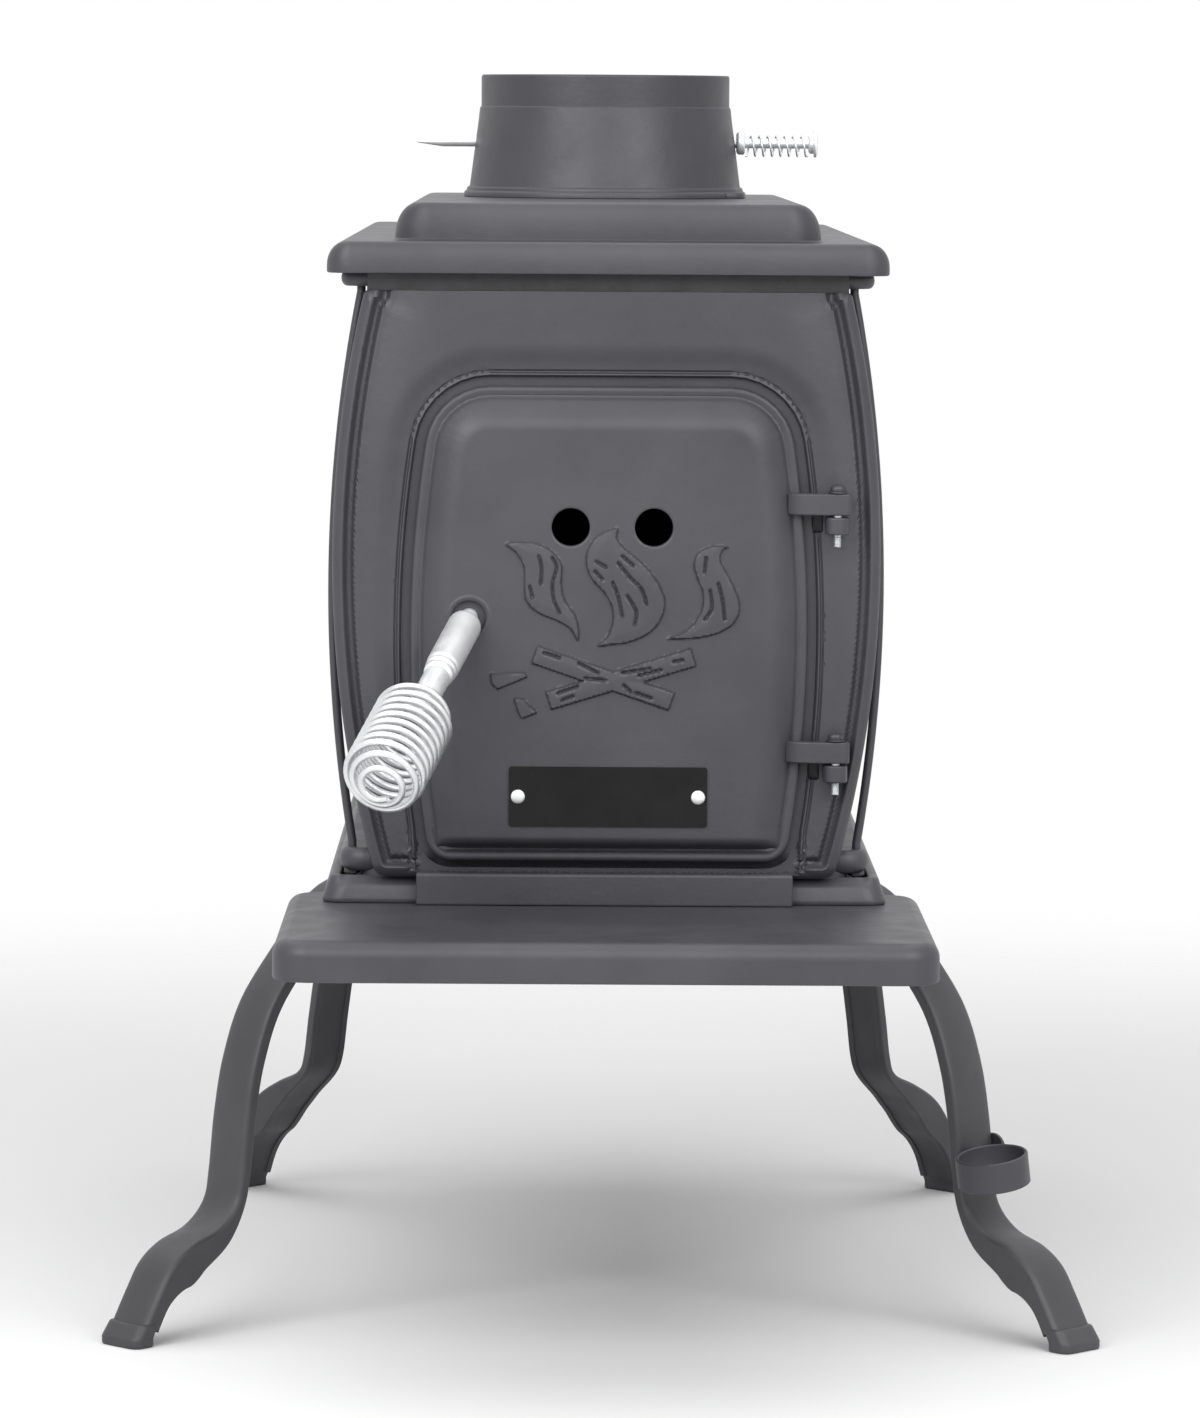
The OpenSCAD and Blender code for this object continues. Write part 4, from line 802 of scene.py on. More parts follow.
# Curves of the legs from the bolt down: (out, height, what the depth gains, in 10.5 mm)
LEG_UPPER = [(-26, 251, -.2), (0, 251, -.2), (26, 250.4, -.24), (48, 240, -.3),
             (70, 217, -.33), (97, 186, -.33), (111, 154, -.33), (118, 122, -.33)]
FRONT_LOWER = [(122, 90, -.33), (126, 73.5, -.33), (139, 61.5, .2), (159, 54.5, .8),
               (173.5, 44.5, .8), (184, 29, .05), (194, 12, 0)]
REAR_LOWER = [(122.5, 95, -.33), (128, 84, -.33), (147, 75.5, .35), (165, 65, .85),
              (178, 50, .8), (186, 31, .05), (194, 12, 0)]


def leg_frame(side, front):
    x, y = LEG_FRONT if front else LEG_REAR
    return moved((side * x, y, 0), ("z", -90 + side * 45 if front else 90 - side * 45))


def leg_section(w, d, t, shut):
    """Section of a leg, (across, depth): a channel that turns into a shallow panel.

    The panel's share is shut, from 0 to 1.
    """
    h, web = w / 2, 2.6
    half = [(0, 0), (h * 0.25, -0.1), (h * 0.5, -0.42), (h * 0.7, -0.85), (h - 2.4, -1.35),
            (h - 1.2, -1.9), (h - 0.4, -2.8), (h, -4.0), (h, -d + 0.6), (h - 0.5, -d)]
    back = [(h - t + 0.5, -d), (h - t, -d + 0.5), (h - t, -web - t), (h - t - 1, -t - 1.6),
            (h * 0.35, -t - 0.4), (0, -t)]
    panel = [-d, -d + 0.3, -d + 0.9, -d + 1.2, -d + 1.4, -d + 1.4]
    right = half + [(x, y * (1 - shut) + q * shut) for (x, y), q in zip(back, panel)]
    left = [(-x, y) for x, y in reversed(right)]
    return right + left[1:-1]


def leg_casting(side, front):
    s = Shape()
    s.place = leg_frame(side, front)
    width, wall, toe = 30, 4.5, 194
    path = [(u, min(z, BASE_Z), thick) for u, z, thick in
            smooth_curve(LEG_UPPER + (FRONT_LOWER if front else REAR_LOWER), steps=7)]
    n, rings = len(path), []
    for i, (u, z, thick) in enumerate(path):
        a, b = path[max(i - 1, 0)], path[min(i + 1, n - 1)]
        t = Vector((1, 0)) if i == 0 else Vector((0.3, -1)) if i == n - 1 \
            else Vector((b[0] - a[0], b[1] - a[1]))
        t.normalize()
        shut = 0 if front else float(soft_step((u - 24) / 30))
        rings.append([(u - t.y * v, across, z + t.x * v) for across, v in
                      leg_section(width, 11.7 + 10.5 * thick, wall, shut)])
    s.loft(rings)

    def pad(*discs):
        """Outline round pairs of discs: place from the toe, across, radius."""
        return hull_of([(toe + x, q * y, r) for x, y, r in discs for q in (-1, 1)])
    top, low = pad((-9.5, 13.5, 2), (-3.5, 10.5, 5)), pad((-5.7, 13.5, 2), (1.5, 10, 6))

    def level(t, z, e=0.0):
        """Ring of the foot at a height, a share t of the way to its top."""
        pts = [(a[0] * t + b[0] * (1 - t), a[1] * t + b[1] * (1 - t)) for a, b in zip(top, low)]
        return at_z(inset(pts, e), z)
    s.loft([level(*step) for step in (
        (0, 0, 1.6), (0, 0.25, 0.7), (0, 0.9, 0.15), (0, 1.8), (0, 4.6), (0.12, 5.8),
        (0.9, 12.0), (1, 12.7, 0.3), (1, 13, 1.0))])
    finish(s, "leg_casting_" + corner_name(side, front), "leg_" + corner_name(side, front),
           materials=[SHADED_LEG_IRON])


BOLT_IN = 14 * sqrt(0.5)  # from a leg's root to its bolt, in X and in Y
BOLTS = [(q * (LEG_FRONT[0] - BOLT_IN), LEG_FRONT[1] + BOLT_IN) for q in (-1, 1)] + \
    [(q * (LEG_REAR[0] - BOLT_IN), LEG_REAR[1] - BOLT_IN) for q in (-1, 1)] + \
    [(q * 62, -225) for q in (-1, 1)]


def fasteners():
    repeated("carriage_bolts", "base_bolts", [moved((x, y, 257.05)) for x, y in BOLTS],
             lambda s: s.lathe(domed(6, 17.5, BOLT_HEAD, 4), 40))
    repeated("leg_nuts", "base_nuts", [moved((x, y, 0)) for x, y in BOLTS],
             lambda s: hex_nut(s, 11.4, 5, 3.0, 241.5, pi / 4))
    repeated("rod_nuts", "tie_nuts",
             [moved((side * rod_x(LEDGE_Z + 3), y, 0)) for side in (-1, 1)
              for y in (ROD_FRONT, ROD_REAR)],
             lambda s: hex_nut(s, 4.8 * 1.9, 4, 2.4, 266))
    repeated("ear_bolts", "collar_bolts",
             [moved((0, COLLAR_Y, 0), ("z", a), (EAR_X, 0, FLANGE_Z - 6), ("x", 180))
              for a in EARS],
             lambda s: s.lathe(domed(6, 8, BOLT_HEAD, 4), 40))


def poker_holder():
    s = Shape()
    leg, lean = leg_frame(1, True), 4 / 32  # the leg's outer face leans by this
    face = leg @ moved((118 + 4 * lean, 0, 118), ("y", -degrees(atan(lean))))
    s.place = leg @ moved((143.5, -14, 97.75), ("x", 10))
    h = 8.75
    edge = [(18.5, h - 0.6), (18.9, h - 0.15), (19.5, h), (20.1, h - 0.15), (20.5, h - 0.6)]
    s.lathe([(r, -z) for r, z in edge] + edge[::-1], 72, around=True)
    s.place = face
    tab_y, tab_r, tab_z = 15.35, 8.75, -14.25
    s.prism([(0.35, -14), (2.35, -14), (2.35, tab_y + 1), (2.1, tab_y + 1.7), (1.4, tab_y + 2),
             (0.35, tab_y + 2)], -30, -13.5, 0.5)
    arc = [(tab_r * cos(a), tab_r * sin(a)) for a in spread(0, pi, 25)]
    s.prism([(x - 3.25, z + tab_z) for x, z in arc + [(-tab_r, -15.75), (tab_r, -15.75)]],
            tab_y, tab_y + 2, 0.45, axis=1)
    finish(s, "poker_holder", "poker_ring")
    repeated("holder_screw", "poker_ring_screw",
             [face @ moved((-5.4, tab_y + 2, tab_z), ("x", -90))],
             lambda s: s.lathe(domed(4, 9, 8, 3), 40))


def hinge_hardware():
    def washer(s):
        s.lathe([(2.55, 0.15), (2.75, 0), (5.0, 0), (5.2, 0.2), (5.2, 0.8), (5.0, 1.0),
                 (2.75, 1.0), (2.55, 0.85)], 40, around=True)

    def pin(s):
        """Domed head, then the bright shank and its threads."""
        s.paint = 0
        s.lathe([(2.45, 0.05), (4.05, 0.05), (4.2, 0.25), (4.2, 1.5)] + crown(4.2, 2.5, 1.5), 40)
        s.paint = 1
        s.lathe([(0, -24.0), (2.42, -24.0), (2.42, 0.3), (0, 0.3)], 32)
        threads(s, 2.2, -30.6, -23.8)
    repeated("pin_washers", "hinge_washers",
             [moved((HINGE_X, HINGE_Y, z + 12.3)) for z in ARM_Z], washer)
    repeated("pins", "hinge_pins", [moved((HINGE_X, HINGE_Y, z + 13.3)) for z in ARM_Z], pin,
             materials=[DARK_STEEL_AND_SLOT_SHADE, SHADED_WIRE_ZINC])


# ------------------------------------------------------------------ feed door

# The fire relief, (x, z): outlines of flames and chips, ends of the logs, engraved strokes
FLAMES = [
    [(-55.3, 451.7), (-47.1, 452.8), (-39.2, 452.3), (-30.5, 448.1), (-24.7, 440.6),
     (-24.7, 430.1), (-22.8, 421.0), (-17.5, 413.5), (-15.2, 406.0), (-15.5, 398.7),
     (-19.7, 405.2), (-27.3, 409.7), (-37.8, 414.1), (-44.2, 420.9), (-45.1, 429.9),
     (-45.5, 439.0), (-49.3, 446.5)],
    [(6.2, 460.7), (5.5, 456.1), (8.8, 450.6), (16.1, 444.6), (24.4, 436.4), (30.5, 426.6),
     (32.1, 418.3), (29.1, 409.3), (22.4, 402.4), (11.9, 397.9), (2.9, 396.7), (-4.9, 395.8),
     (-0.1, 400.3), (3.1, 407.6), (3.1, 416.7), (-1.1, 424.9), (-7.9, 432.4), (-11.2, 440.7),
     (-10.2, 449.7), (-5.0, 456.5), (1.0, 459.6)],
    [(66.9, 450.9), (63.4, 448.7), (62.4, 443.4), (66.5, 435.1), (71.1, 426.1), (73.2, 417.1),
     (69.8, 408.8), (61.5, 403.4), (51.0, 400.8), (40.5, 400.0), (33.0, 400.2), (40.8, 403.0),
     (47.9, 408.6), (52.4, 417.0), (52.6, 426.0), (49.6, 433.5), (47.7, 441.0), (49.9, 447.1),
     (55.1, 450.4), (61.1, 451.4)]]
CHIPS = [
    [(-63.5, 380.5), (-44.4, 381.1), (-42.9, 378.6), (-59.4, 371.7), (-62.9, 374.7)],
    [(-50.7, 366.5), (-46.3, 367.3), (-37.5, 359.0), (-46.2, 355.5), (-48.1, 359.0)]]
LOG_R = 5.2
LOGS = [((-39.5, 391.1), (36.2, 365.5)), ((48.1, 390.1), (-31.5, 365.6))]
STROKES = [
    [(-37.2, 445.0), (-35.7, 439.0), (-36.1, 430.0)],
    [(-29.7, 444.3), (-27.4, 439.1), (-29.6, 430.0), (-28.8, 421.0), (-25.5, 413.8)],
    [(-42.1, 428.4), (-40.6, 422.4)], [(-5.7, 442.2), (-0.4, 439.2)],
    [(-6.4, 436.9), (-2.2, 432.5)],
    [(6.4, 441.5), (13.2, 433.3), (19.2, 427.3), (22.0, 419.0)], [(8.6, 445.3), (14.6, 440.1)],
    [(3.4, 431.0), (6.5, 422.7), (8.8, 412.2)], [(11.4, 423.5), (16.3, 415.2), (15.6, 407.7)],
    [(54.4, 444.8), (53.7, 436.6)], [(56.8, 426.8), (57.7, 417.0), (53.9, 410.9)],
    [(61.3, 430.6), (63.6, 421.5), (64.8, 411.0)],
    [(-33.9, 392.0), (-25.6, 389.3)], [(-15.1, 386.4), (-4.5, 381.1)],
    [(-11.3, 378.1), (0.0, 377.1)], [(9.8, 374.4), (13.6, 370.7)], [(16.6, 370.2), (24.9, 367.3)],
    [(9.0, 381.2), (24.1, 383.6)], [(18.1, 379.8), (30.1, 382.9)], [(36.8, 387.4), (42.1, 388.5)],
    [(-26.3, 369.7), (-15.8, 373.5)], [(-24.0, 365.9), (-18.0, 368.2)]]


def relief(x, z):
    """How far the fire relief stands out of the door's face, by place."""
    def within(line):
        return np.where(inside(x, z, line), 1, -1) * distance(x, z, line)

    def raised(d):
        return 2.3 * soft_step(d / 0.9 + 0.3)
    height = np.zeros(len(x))
    for points in FLAMES:
        d = within(smooth_curve(points, closed=True, steps=5))
        height = np.maximum(height, raised(d) + 0.4 * soft_step(d / 6))
    for points in CHIPS:
        height = np.maximum(height, raised(within(points)))
    for a, b in LOGS:
        u = Vector(b) - Vector(a)
        long = u.length
        u.normalize()
        along = (x - a[0]) * u.x + (z - a[1]) * u.y
        across = np.abs(-(x - a[0]) * u.y + (z - a[1]) * u.x)
        d = np.minimum(LOG_R - across, np.minimum(along, long - along))
        height = np.maximum(height, raised(d) + 0.3 * soft_step(d / 5))
    for points in STROKES:
        line = smooth_curve(points, steps=5) if len(points) > 2 else points
        height -= 1.8 * (1 - soft_step(distance(x, z, line, closed=False) / 1.3))
    well = np.hypot(x - LATCH_X, z - LATCH_Z)
    height += 0.45 * np.clip(1 - ((well - 11.2) / 0.9) ** 2, 0, 1)
    for air_x, air_z in AIRS:
        height *= soft_step((np.hypot(x - air_x, z - air_z) - 10.9) / 0.8)
    return height


def face_grid(outline, pitch, holes=()):
    """Staggered points inside an outline and clear of some discs."""
    (x0, z0), (x1, z1) = (f(np.array(outline), axis=0) for f in (np.min, np.max))
    row = pitch * 0.866
    grid = np.array([(x0 + (i + 0.5 * (j % 2)) * pitch, z0 + j * row)
                     for j in range(int((z1 - z0) / row))
                     for i in range(int((x1 - x0) / pitch) + 1)])
    keep = inside(*grid.T, outline) & (distance(*grid.T, outline) > 0.9)
    for x, z, r in holes:
        keep &= np.hypot(grid[:, 0] - x, grid[:, 1] - z) > r + 0.5
    return grid[keep]


def pillow(x, z):
    """How far the door's field stands out of its flange, by place."""
    side, low = distance(x, z, door_flanks(), closed=False), z - DOOR_LOW
    across = np.sin(np.clip((side - 5) / 19, 0, 1) * pi / 2)
    up = np.sqrt(1 - (1 - np.clip((low - 8.2) / 6.5, 0, 1)) ** 2)
    bead = 0.9 * np.clip(1 - ((low - 6.6) / 1.3) ** 2, 0, 1) * soft_step((side - 7) / 8)
    ditch = 0.7 * np.clip(1 - ((side - 5.9) / 1.5) ** 2, 0, 1)
    return 10 * across * up + bead - ditch * np.clip(1 - across * up * 1.5, 0, 1)


def door_casting():
    s = Shape()
    rings = s.rows(door_outline, (
        (0.5, DOOR_BACK), (0, DOOR_BACK - 0.5), (0, -260.2), (0.3, -261.1), (1.0, -261.9),
        (2.0, -262.3), (3.0, -262.2), (3.8, -262.0), (4.3, -262.0)))
    s.bands(rings)

    def hole(x, z, n, steps):
        """Rings of a round hole, (radius, y)."""
        rows = s.rows(lambda r: circle(x, z, r, n), steps)
        s.bands(rows)
        return rows
    rim_r, seat_r, inner_y = AIR_R + 0.8, 9.8, -265
    holes = [hole(x, z, 48, ((rim_r, DOOR_FACE), (AIR_R + 0.25, -271.7), (AIR_R, -271.0),
                             (AIR_R, -265.3), (AIR_R + 0.3, inner_y))) for x, z in AIRS]
    holes.append(hole(LATCH_X, LATCH_Z, 40, (
        (seat_r, DOOR_FACE), (9.45, -271.6), (9.3, -271.0), (9.3, -268.4), (8.9, -268.0),
        (5.3, -268.0), (5.06, -267.7), (5.06, -250.0), (5.3, -249.7), (11.5, -249.7),
        (12, -250.2), (12, inner_y))))
    rows = np.array([p for e in (4.8, 5.4, 6.0, 6.6, 7.4, 8.4)
                     for p in refined(door_outline(e), 1.5)])
    grid = face_grid(door_outline(4.3), 0.9,
                     [(x, z, rim_r) for x, z in AIRS] + [(LATCH_X, LATCH_Z, seat_r)])
    grid = np.concatenate([rows, grid[distance(*grid.T, door_outline(8.4)) > 0.5]])
    s.fill(rings[-1], [rows[0] for rows in holes], inner=grid,
           lift=-pillow(*grid.T) - relief(*grid.T))
    back = [rings[0]] + s.rows(door_outline, (
        (3.3, DOOR_BACK), (3.8, -255.7), (3.8, -259.6), (4.0, -259.8), (11.0, -259.8),
        (11.2, -259.6), (11.2, -255.7), (11.6, DOOR_BACK), (17.9, DOOR_BACK), (18.5, -255.9),
        (18.5, -264.0), (19.2, -264.8), (20, inner_y)))
    s.bands(back)
    s.fill(back[-1], [rows[-1] for rows in holes])
    s.place = moved((HINGE_X, HINGE_Y, 0))
    for z in ARM_Z:
        eye = [(4.3 + 3.4 * cos(a), -1.4 + 3.4 * sin(a)) for a in spread(-pi / 2, 0, 9)]
        eye += [(4.0 + 3.7 * cos(a), 1.6 + 3.7 * sin(a)) for a in spread(0, pi / 2, 9)]
        s.prism([(-27, 2.5), (-24, -0.4), (-20, -2.6), (-15, -4.0), (-8, -4.7)] + eye
                + [(-27, 5.3)], z + 0.2, z + 12, 0.9)
    finish(s, "door_casting", "door", "door")


def door_trim():
    s = Shape()
    ring = refined(door_outline(7.5), 1.3)
    marks = np.cumsum([0.0] + [hypot(b[0] - a[0], b[1] - a[1])
                               for a, b in zip(ring, ring[1:] + ring[:1])])
    turns = round(marks[-1] / 19)

    def strands(i, q):
        """Rope's section: four lobes that turn along its length."""
        a = 2 * pi * q
        lobe = 0.86 + 0.14 * abs(cos(2 * (a + 2 * pi * turns * marks[i] / marks[-1])))
        return 3.45 * cos(a) * lobe, 2.2 * sin(a) * lobe
    s.tube(at_y(ring, -257.45), 0, 24, closed=True,
           out=[(x - DOOR_X, 0, z - 406) for x, z in ring], shape=strands)
    finish(s, "rope_seal", "door_gasket", "door", "rope")
    s, face = Shape(), DOOR_FACE - 1.2
    s.prism([(DOOR_X + x, PLATE_Z + z) for x, z in rounded(54.5, -16.5, 16.5, 1.5, 6)],
            DOOR_FACE + 0.2, face, -0.01, axis=1)
    finish(s, "bare_plate", "door_plate", "door", "black_sheet")
    repeated("rivet_heads", "plate_rivets",
             [moved((DOOR_X + side * 49.5, face, PLATE_Z), ("x", 90)) for side in (-1, 1)],
             lambda s: s.lathe(domed(3, 4.7, 7.8, 2), 36), "door", "zinc_steel")


# ------------------------------------------------------------------ handle and latch

ZINC_HANDLE = ("handle", "zinc_steel")
HANDLE = moved((LATCH_X, DOOR_FACE, LATCH_Z), ("y", 30), ("x", 123))
SLEEVE_R, SLEEVE_L = 9.3, 53.0
SLEEVE_Z = SLEEVE_R * tan(radians(33)) + 0.8  # clear of the door's face, which it meets aslant
NECK_Z = SLEEVE_Z + SLEEVE_L
GRIP_Z = NECK_Z + 36


def handle_parts():
    def latch(y, *turns):
        return moved((LATCH_X, y, LATCH_Z), *turns)
    s = Shape()
    s.place = latch(0, ("x", 90))
    s.lathe([(0, 232.45), (4.4, 232.45), (5, 233.05), (5, 271.5), (0, 271.5)], 40)
    s.place = latch(DOOR_FACE)
    s.lathe([(5.02 * sin(radians(a)), -5.02 * cos(radians(a))) for a in range(0, 181, 12)], 32)
    s.place = HANDLE
    s.lathe([(0, 0), (5, 0), (5, NECK_Z + 0.5), (7.0, NECK_Z + 0.6), (7.45, NECK_Z + 1.4)]
            + [(7.5 - 0.5 * t, NECK_Z + 1.6 + 33.6 * t) for t in spread(0.0, 1.0, 6)]
            + [(6.6, GRIP_Z - 0.25), (6.0, GRIP_Z), (0, GRIP_Z)], 48)
    finish(s, "latch_spindle", "latch_shaft", *ZINC_HANDLE)
    sleeve = [(5.05, -2.6), (5.9, -2.8), (7.0, -2.4), (8.0, -1.6), (8.7, -0.5),
              (SLEEVE_R - 0.2, 0.8), (SLEEVE_R, 2.2)]
    sleeve += [(SLEEVE_R - a, SLEEVE_L - b) for a, b in (
        (0, 11), (0.2, 9.8), (0.55, 8.8), (0.6, 8.0), (0.4, 7.2), (0.4, 6.4), (0.8, 5.4),
        (1.0, 4.6), (0.95, 3.8), (0.9, 2.8), (1.0, 1.9), (1.4, 0.9), (2.2, 0.15))]
    sleeve.append((5.05, SLEEVE_L))
    repeated("grip_sleeve", "handle_sleeve", [HANDLE @ moved((0, 0, SLEEVE_Z))],
             lambda s: s.lathe(sleeve, 56, around=True), *ZINC_HANDLE)
    arc = [(9.5 * cos(a), 9.5 * sin(a)) for a in spread(radians(43), radians(317), 30)]
    end = [(30 + 4 * cos(a), q * 2.5 + 4 * sin(a)) for q, lo, hi in ((-1, -90, 0), (1, 0, 90))
           for a in spread(radians(lo), radians(hi), 7)]
    repeated("tongue", "latch_tongue", [latch(-243.4, ("x", 90), ("z", 97))],
             lambda s: s.prism(end + arc, 0, 6, 0.7), *ZINC_HANDLE)
    repeated("shaft_nut", "latch_nut", [latch(-238.1, ("x", 90))],
             lambda s: hex_nut(s, 18, 5, 5.05), *ZINC_HANDLE)


def coil_grip():
    """Grip wound from one wire: out of the neck, a flat lead, full turns, a nose spiral."""
    per, fine = 8, 6  # steps in a turn, points in a step
    lead, body, nose = 10, 68, 17  # steps of each stretch
    wire, start_r, big, nose_r = 3.8, 2.5, 20.6, 7.6
    rise, pitch, nose_pitch = 0.8, 6.8, 4.8

    def wound(i):
        """Radius and height of the wire after i steps."""
        if i < lead:
            return start_r + (big - start_r) * i / lead, rise * i / lead
        if i < lead + body:
            return big, rise + pitch * (i - lead) / per
        past = i - lead - body
        return big + (nose_r - big) * past / nose, \
            rise + pitch * body / per + nose_pitch * past / per
    points = [(start_r, 0, 0.0)]
    for j in range((lead + body + nose) * fine + 1):
        r, z = wound(j / fine)
        a = 2 * pi * j / fine / per
        points.append((r * cos(a), r * sin(a), wire + z))
    end = Vector(points[-1]) - Vector(points[-2])
    points.append(tuple(Vector(points[-1]) + end.normalized() * (wire - 0.3)))
    repeated("wound_grip", "coil_grip", [HANDLE @ moved((0, 0, GRIP_Z))],
             lambda s: s.tube(points, wire / 2, 14, out=[(x, y, 0.001) for x, y, _ in points]),
             *ZINC_HANDLE, [SHADED_WIRE_ZINC])


# ------------------------------------------------------------------ damper

CAP_Z = 120.95


def damper_parts():
    upright = moved((0, COLLAR_Y, DAMPER_Z))
    along = upright @ moved(("y", 90))
    seat, spring, cap = (moved((0, 0, z)) for z in (78.15, 83.35, CAP_Z))
    metal = ("damper", "zinc_steel")
    repeated("damper_spindle", "damper_rod", [along], lambda s: s.lathe(
        [(0, -112.7), (0.45, -112.5), (0.9, -111.2), (2.75, -98.6), (2.95, -97.2), (3, -95.5),
         (3, CAP_Z + 4), (0, CAP_Z + 4)], 40), *metal)
    s = Shape()
    s.place = upright
    s.lathe([(0, -2), (61.4, -2), (62, -1.4), (62, 1.4), (61.4, 2), (0, 2)], 96)
    s.place = along
    s.lathe([(3.05, -42), (5.4, -42), (6, -41.4), (6, 41.4), (5.4, 42), (3.05, 42)], 40,
            around=True)
    s.place = upright
    for y in (-31, 31):
        s.prism([(-42, y - 2), (42, y - 2), (42, y + 2), (-42, y + 2)], 0.5, 5, 0.8)
    finish(s, "damper_disc", "damper_plate", "damper")
    repeated("spring_cup", "damper_washer", [along @ seat], lambda s: s.lathe(
        [(3.05, 0.45), (5.3, 0.05), (6.2, 0.5), (6.75, 1.3), (6.85, 2.0), (6.85, 4.0),
         (6.6, 4.7), (6.0, 5.15), (3.4, 5.2), (3.05, 4.9)], 48, around=True), *metal)
    turns, per, r, plain, wound, sag = 7, 32, 5.9, 1.2, 35.2, 1.6
    points = [(r, 0, 0.0)]
    for j in range(turns * per + 1):
        a = 2 * pi * j / per
        points.append((r * cos(a), r * sin(a), plain + wound * j / (turns * per)))
    points.append((r, 0, 37.6))
    repeated("wound_spring", "damper_spring", [moved((0, 0, -sag)) @ along @ spring],
             lambda s: s.tube(points, 0.6, 10, out=[(x, y, 0.001) for x, y, _ in points]),
             *metal, [SHADED_WIRE_ZINC])
    repeated("spring_cap", "damper_cap", [along @ cap], lambda s: s.lathe(
        [(0, 0.02), (4.5, 0.02), (5.3, 0.5), (5.9, 1.1), (6.0, 1.7), (6.0, 3.0), (6.3, 3.3),
         (7.9, 3.4), (8.2, 3.7), (8.2, 4.6), (7.8, 5.2), (6.9, 5.65), (5.0, 5.78), (0, 5.8)],
        56), *metal)


def stove():
    for build in (base_casting, front_casting, back_casting):
        build()
    for side in (-1, 1):
        side_casting(side)
        for front in (True, False):
            tie_rod(side, front)
            leg_casting(side, front)
    for build in (top_casting, collar_casting, grate_casting, shelf_casting, fasteners,
                  poker_holder, hinge_hardware, door_casting, door_trim, handle_parts,
                  coil_grip, damper_parts):
        build()


# ------------------------------------------------------------------ floor, light, camera

def floor():
    """Pale floor that fades out far from the stove."""
    disc = Shape()
    disc.lathe([(r, 0) for r in (0, 600, 1200, 1800, 2600, 3400)], 64)
    mesh = bpy.data.meshes.new("floor")
    mesh.from_pydata([p * MM for p in disc.points], [], disc.faces)
    mat = bpy.data.materials.new("pale_floor")
    mat.use_nodes = True
    nodes, links = mat.node_tree.nodes, mat.node_tree.links
    shader = nodes["Principled BSDF"]
    shader.inputs["Roughness"].default_value = 0.9
    shader.inputs["Specular IOR Level"].default_value = 0.1
    where = nodes.new("ShaderNodeTexCoord").outputs["Object"]
    ramp(nodes, links, noise(nodes, links, where, 3.0),
         [(0.2, grey(0.965)), (0.8, grey(0.98))], shader.inputs["Base Color"])
    far = nodes.new("ShaderNodeVectorMath")
    far.operation = "LENGTH"
    links.new(where, far.inputs[0])
    fade = nodes.new("ShaderNodeMapRange")
    fade.interpolation_type = "SMOOTHSTEP"
    fade.inputs["From Min"].default_value = 0.65
    fade.inputs["From Max"].default_value = 1.9
    links.new(far.outputs["Value"], fade.inputs["Value"])
    clear, mix = nodes.new("ShaderNodeBsdfTransparent"), nodes.new("ShaderNodeMixShader")
    links.new(fade.outputs["Result"], mix.inputs["Fac"])
    links.new(shader.outputs["BSDF"], mix.inputs[1])
    links.new(clear.outputs["BSDF"], mix.inputs[2])
    links.new(mix.outputs["Shader"], nodes["Material Output"].inputs["Surface"])
    mesh.materials.append(mat)
    obj = bpy.data.objects.new("floor", mesh)
    bpy.context.scene.collection.objects.link(obj)


def softbox(name, at, aim, size, power):
    """Rectangular light at a place, turned to another."""
    data = bpy.data.lights.new(name, "AREA")
    data.shape = "RECTANGLE"
    data.size, data.size_y = size
    data.energy = power
    obj = bpy.data.objects.new(name, data)
    obj.location = at
    obj.rotation_euler = (Vector(aim) - Vector(at)).to_track_quat("-Z", "Y").to_euler()
    bpy.context.scene.collection.objects.link(obj)


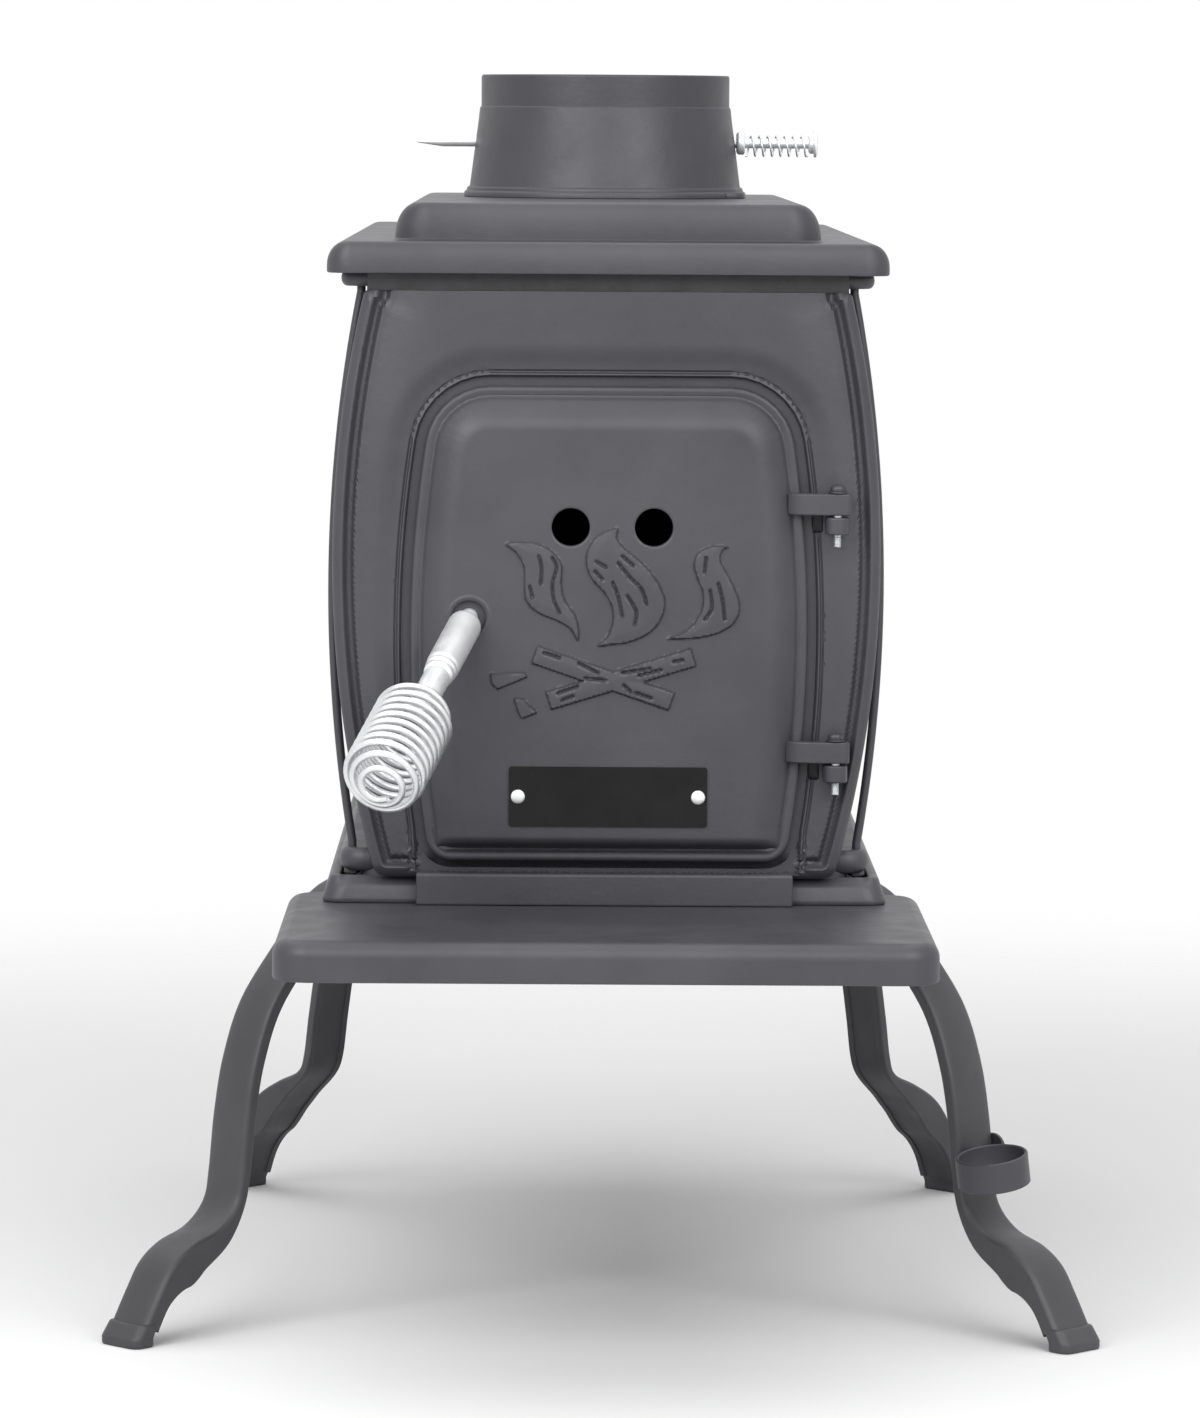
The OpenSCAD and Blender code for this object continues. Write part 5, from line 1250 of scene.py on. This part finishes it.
def studio():
    """White where the camera looks and in reflections, dim as light; three softboxes."""
    world = bpy.data.worlds.new("studio")
    world.use_nodes = True
    bpy.context.scene.world = world
    nodes, links = world.node_tree.nodes, world.node_tree.links
    nodes.clear()

    def either(a, b):
        node = nodes.new("ShaderNodeMath")
        node.operation = "MAXIMUM"
        links.new(a, node.inputs[0])
        links.new(b, node.inputs[1])
        return node.outputs[0]

    def background(strength):
        node = nodes.new("ShaderNodeBackground")
        node.inputs["Color"].default_value = (1, 1, 1, 1)
        node.inputs["Strength"].default_value = strength
        return node.outputs[0]
    rays = nodes.new("ShaderNodeLightPath").outputs
    seen = either(either(rays["Is Camera Ray"], rays["Is Glossy Ray"]),
                  rays["Is Transmission Ray"])
    mix = nodes.new("ShaderNodeMixShader")
    links.new(seen, mix.inputs["Fac"])
    links.new(background(0.26), mix.inputs[1])
    links.new(background(1.0), mix.inputs[2])
    out = nodes.new("ShaderNodeOutputWorld")
    links.new(mix.outputs[0], out.inputs["Surface"])
    softbox("overhead", (-0.2, 0.1, 3.4), (0, 0.1, 0), (4.2, 4.2), 70)
    softbox("left_bank", (-1.35, -2.35, 1.75), (0, 0, 0.42), (2.2, 1.6), 50)
    softbox("right_bank", (1.3, -2.35, 1.7), (0, 0, 0.42), (2.1, 1.6), 41)


def camera():
    """The camera that was fitted to the photograph."""
    yaw, pitch, roll = radians(0.400), radians(5.217), radians(0.378)
    forward = Vector((sin(yaw) * cos(pitch), cos(yaw) * cos(pitch), -sin(pitch)))
    right = Vector((cos(yaw), -sin(yaw), 0))
    up = right.cross(forward)
    rolled_right = right * cos(roll) + up * sin(roll)
    rolled_up = up * cos(roll) - right * sin(roll)
    data = bpy.data.cameras.new("camera")
    data.sensor_fit = "HORIZONTAL"
    data.sensor_width = 36
    data.lens = 193.674
    data.clip_start, data.clip_end = 0.1, 60
    obj = bpy.data.objects.new("camera", data)
    place = Matrix((rolled_right, rolled_up, -forward)).transposed().to_4x4()
    place.translation = Vector((-0.0278, -3.8023, 0.6835))
    obj.matrix_world = place
    bpy.context.scene.collection.objects.link(obj)
    bpy.context.scene.camera = obj


stove()
floor()
studio()
camera()
bpy.context.scene.view_settings.view_transform = "Standard"
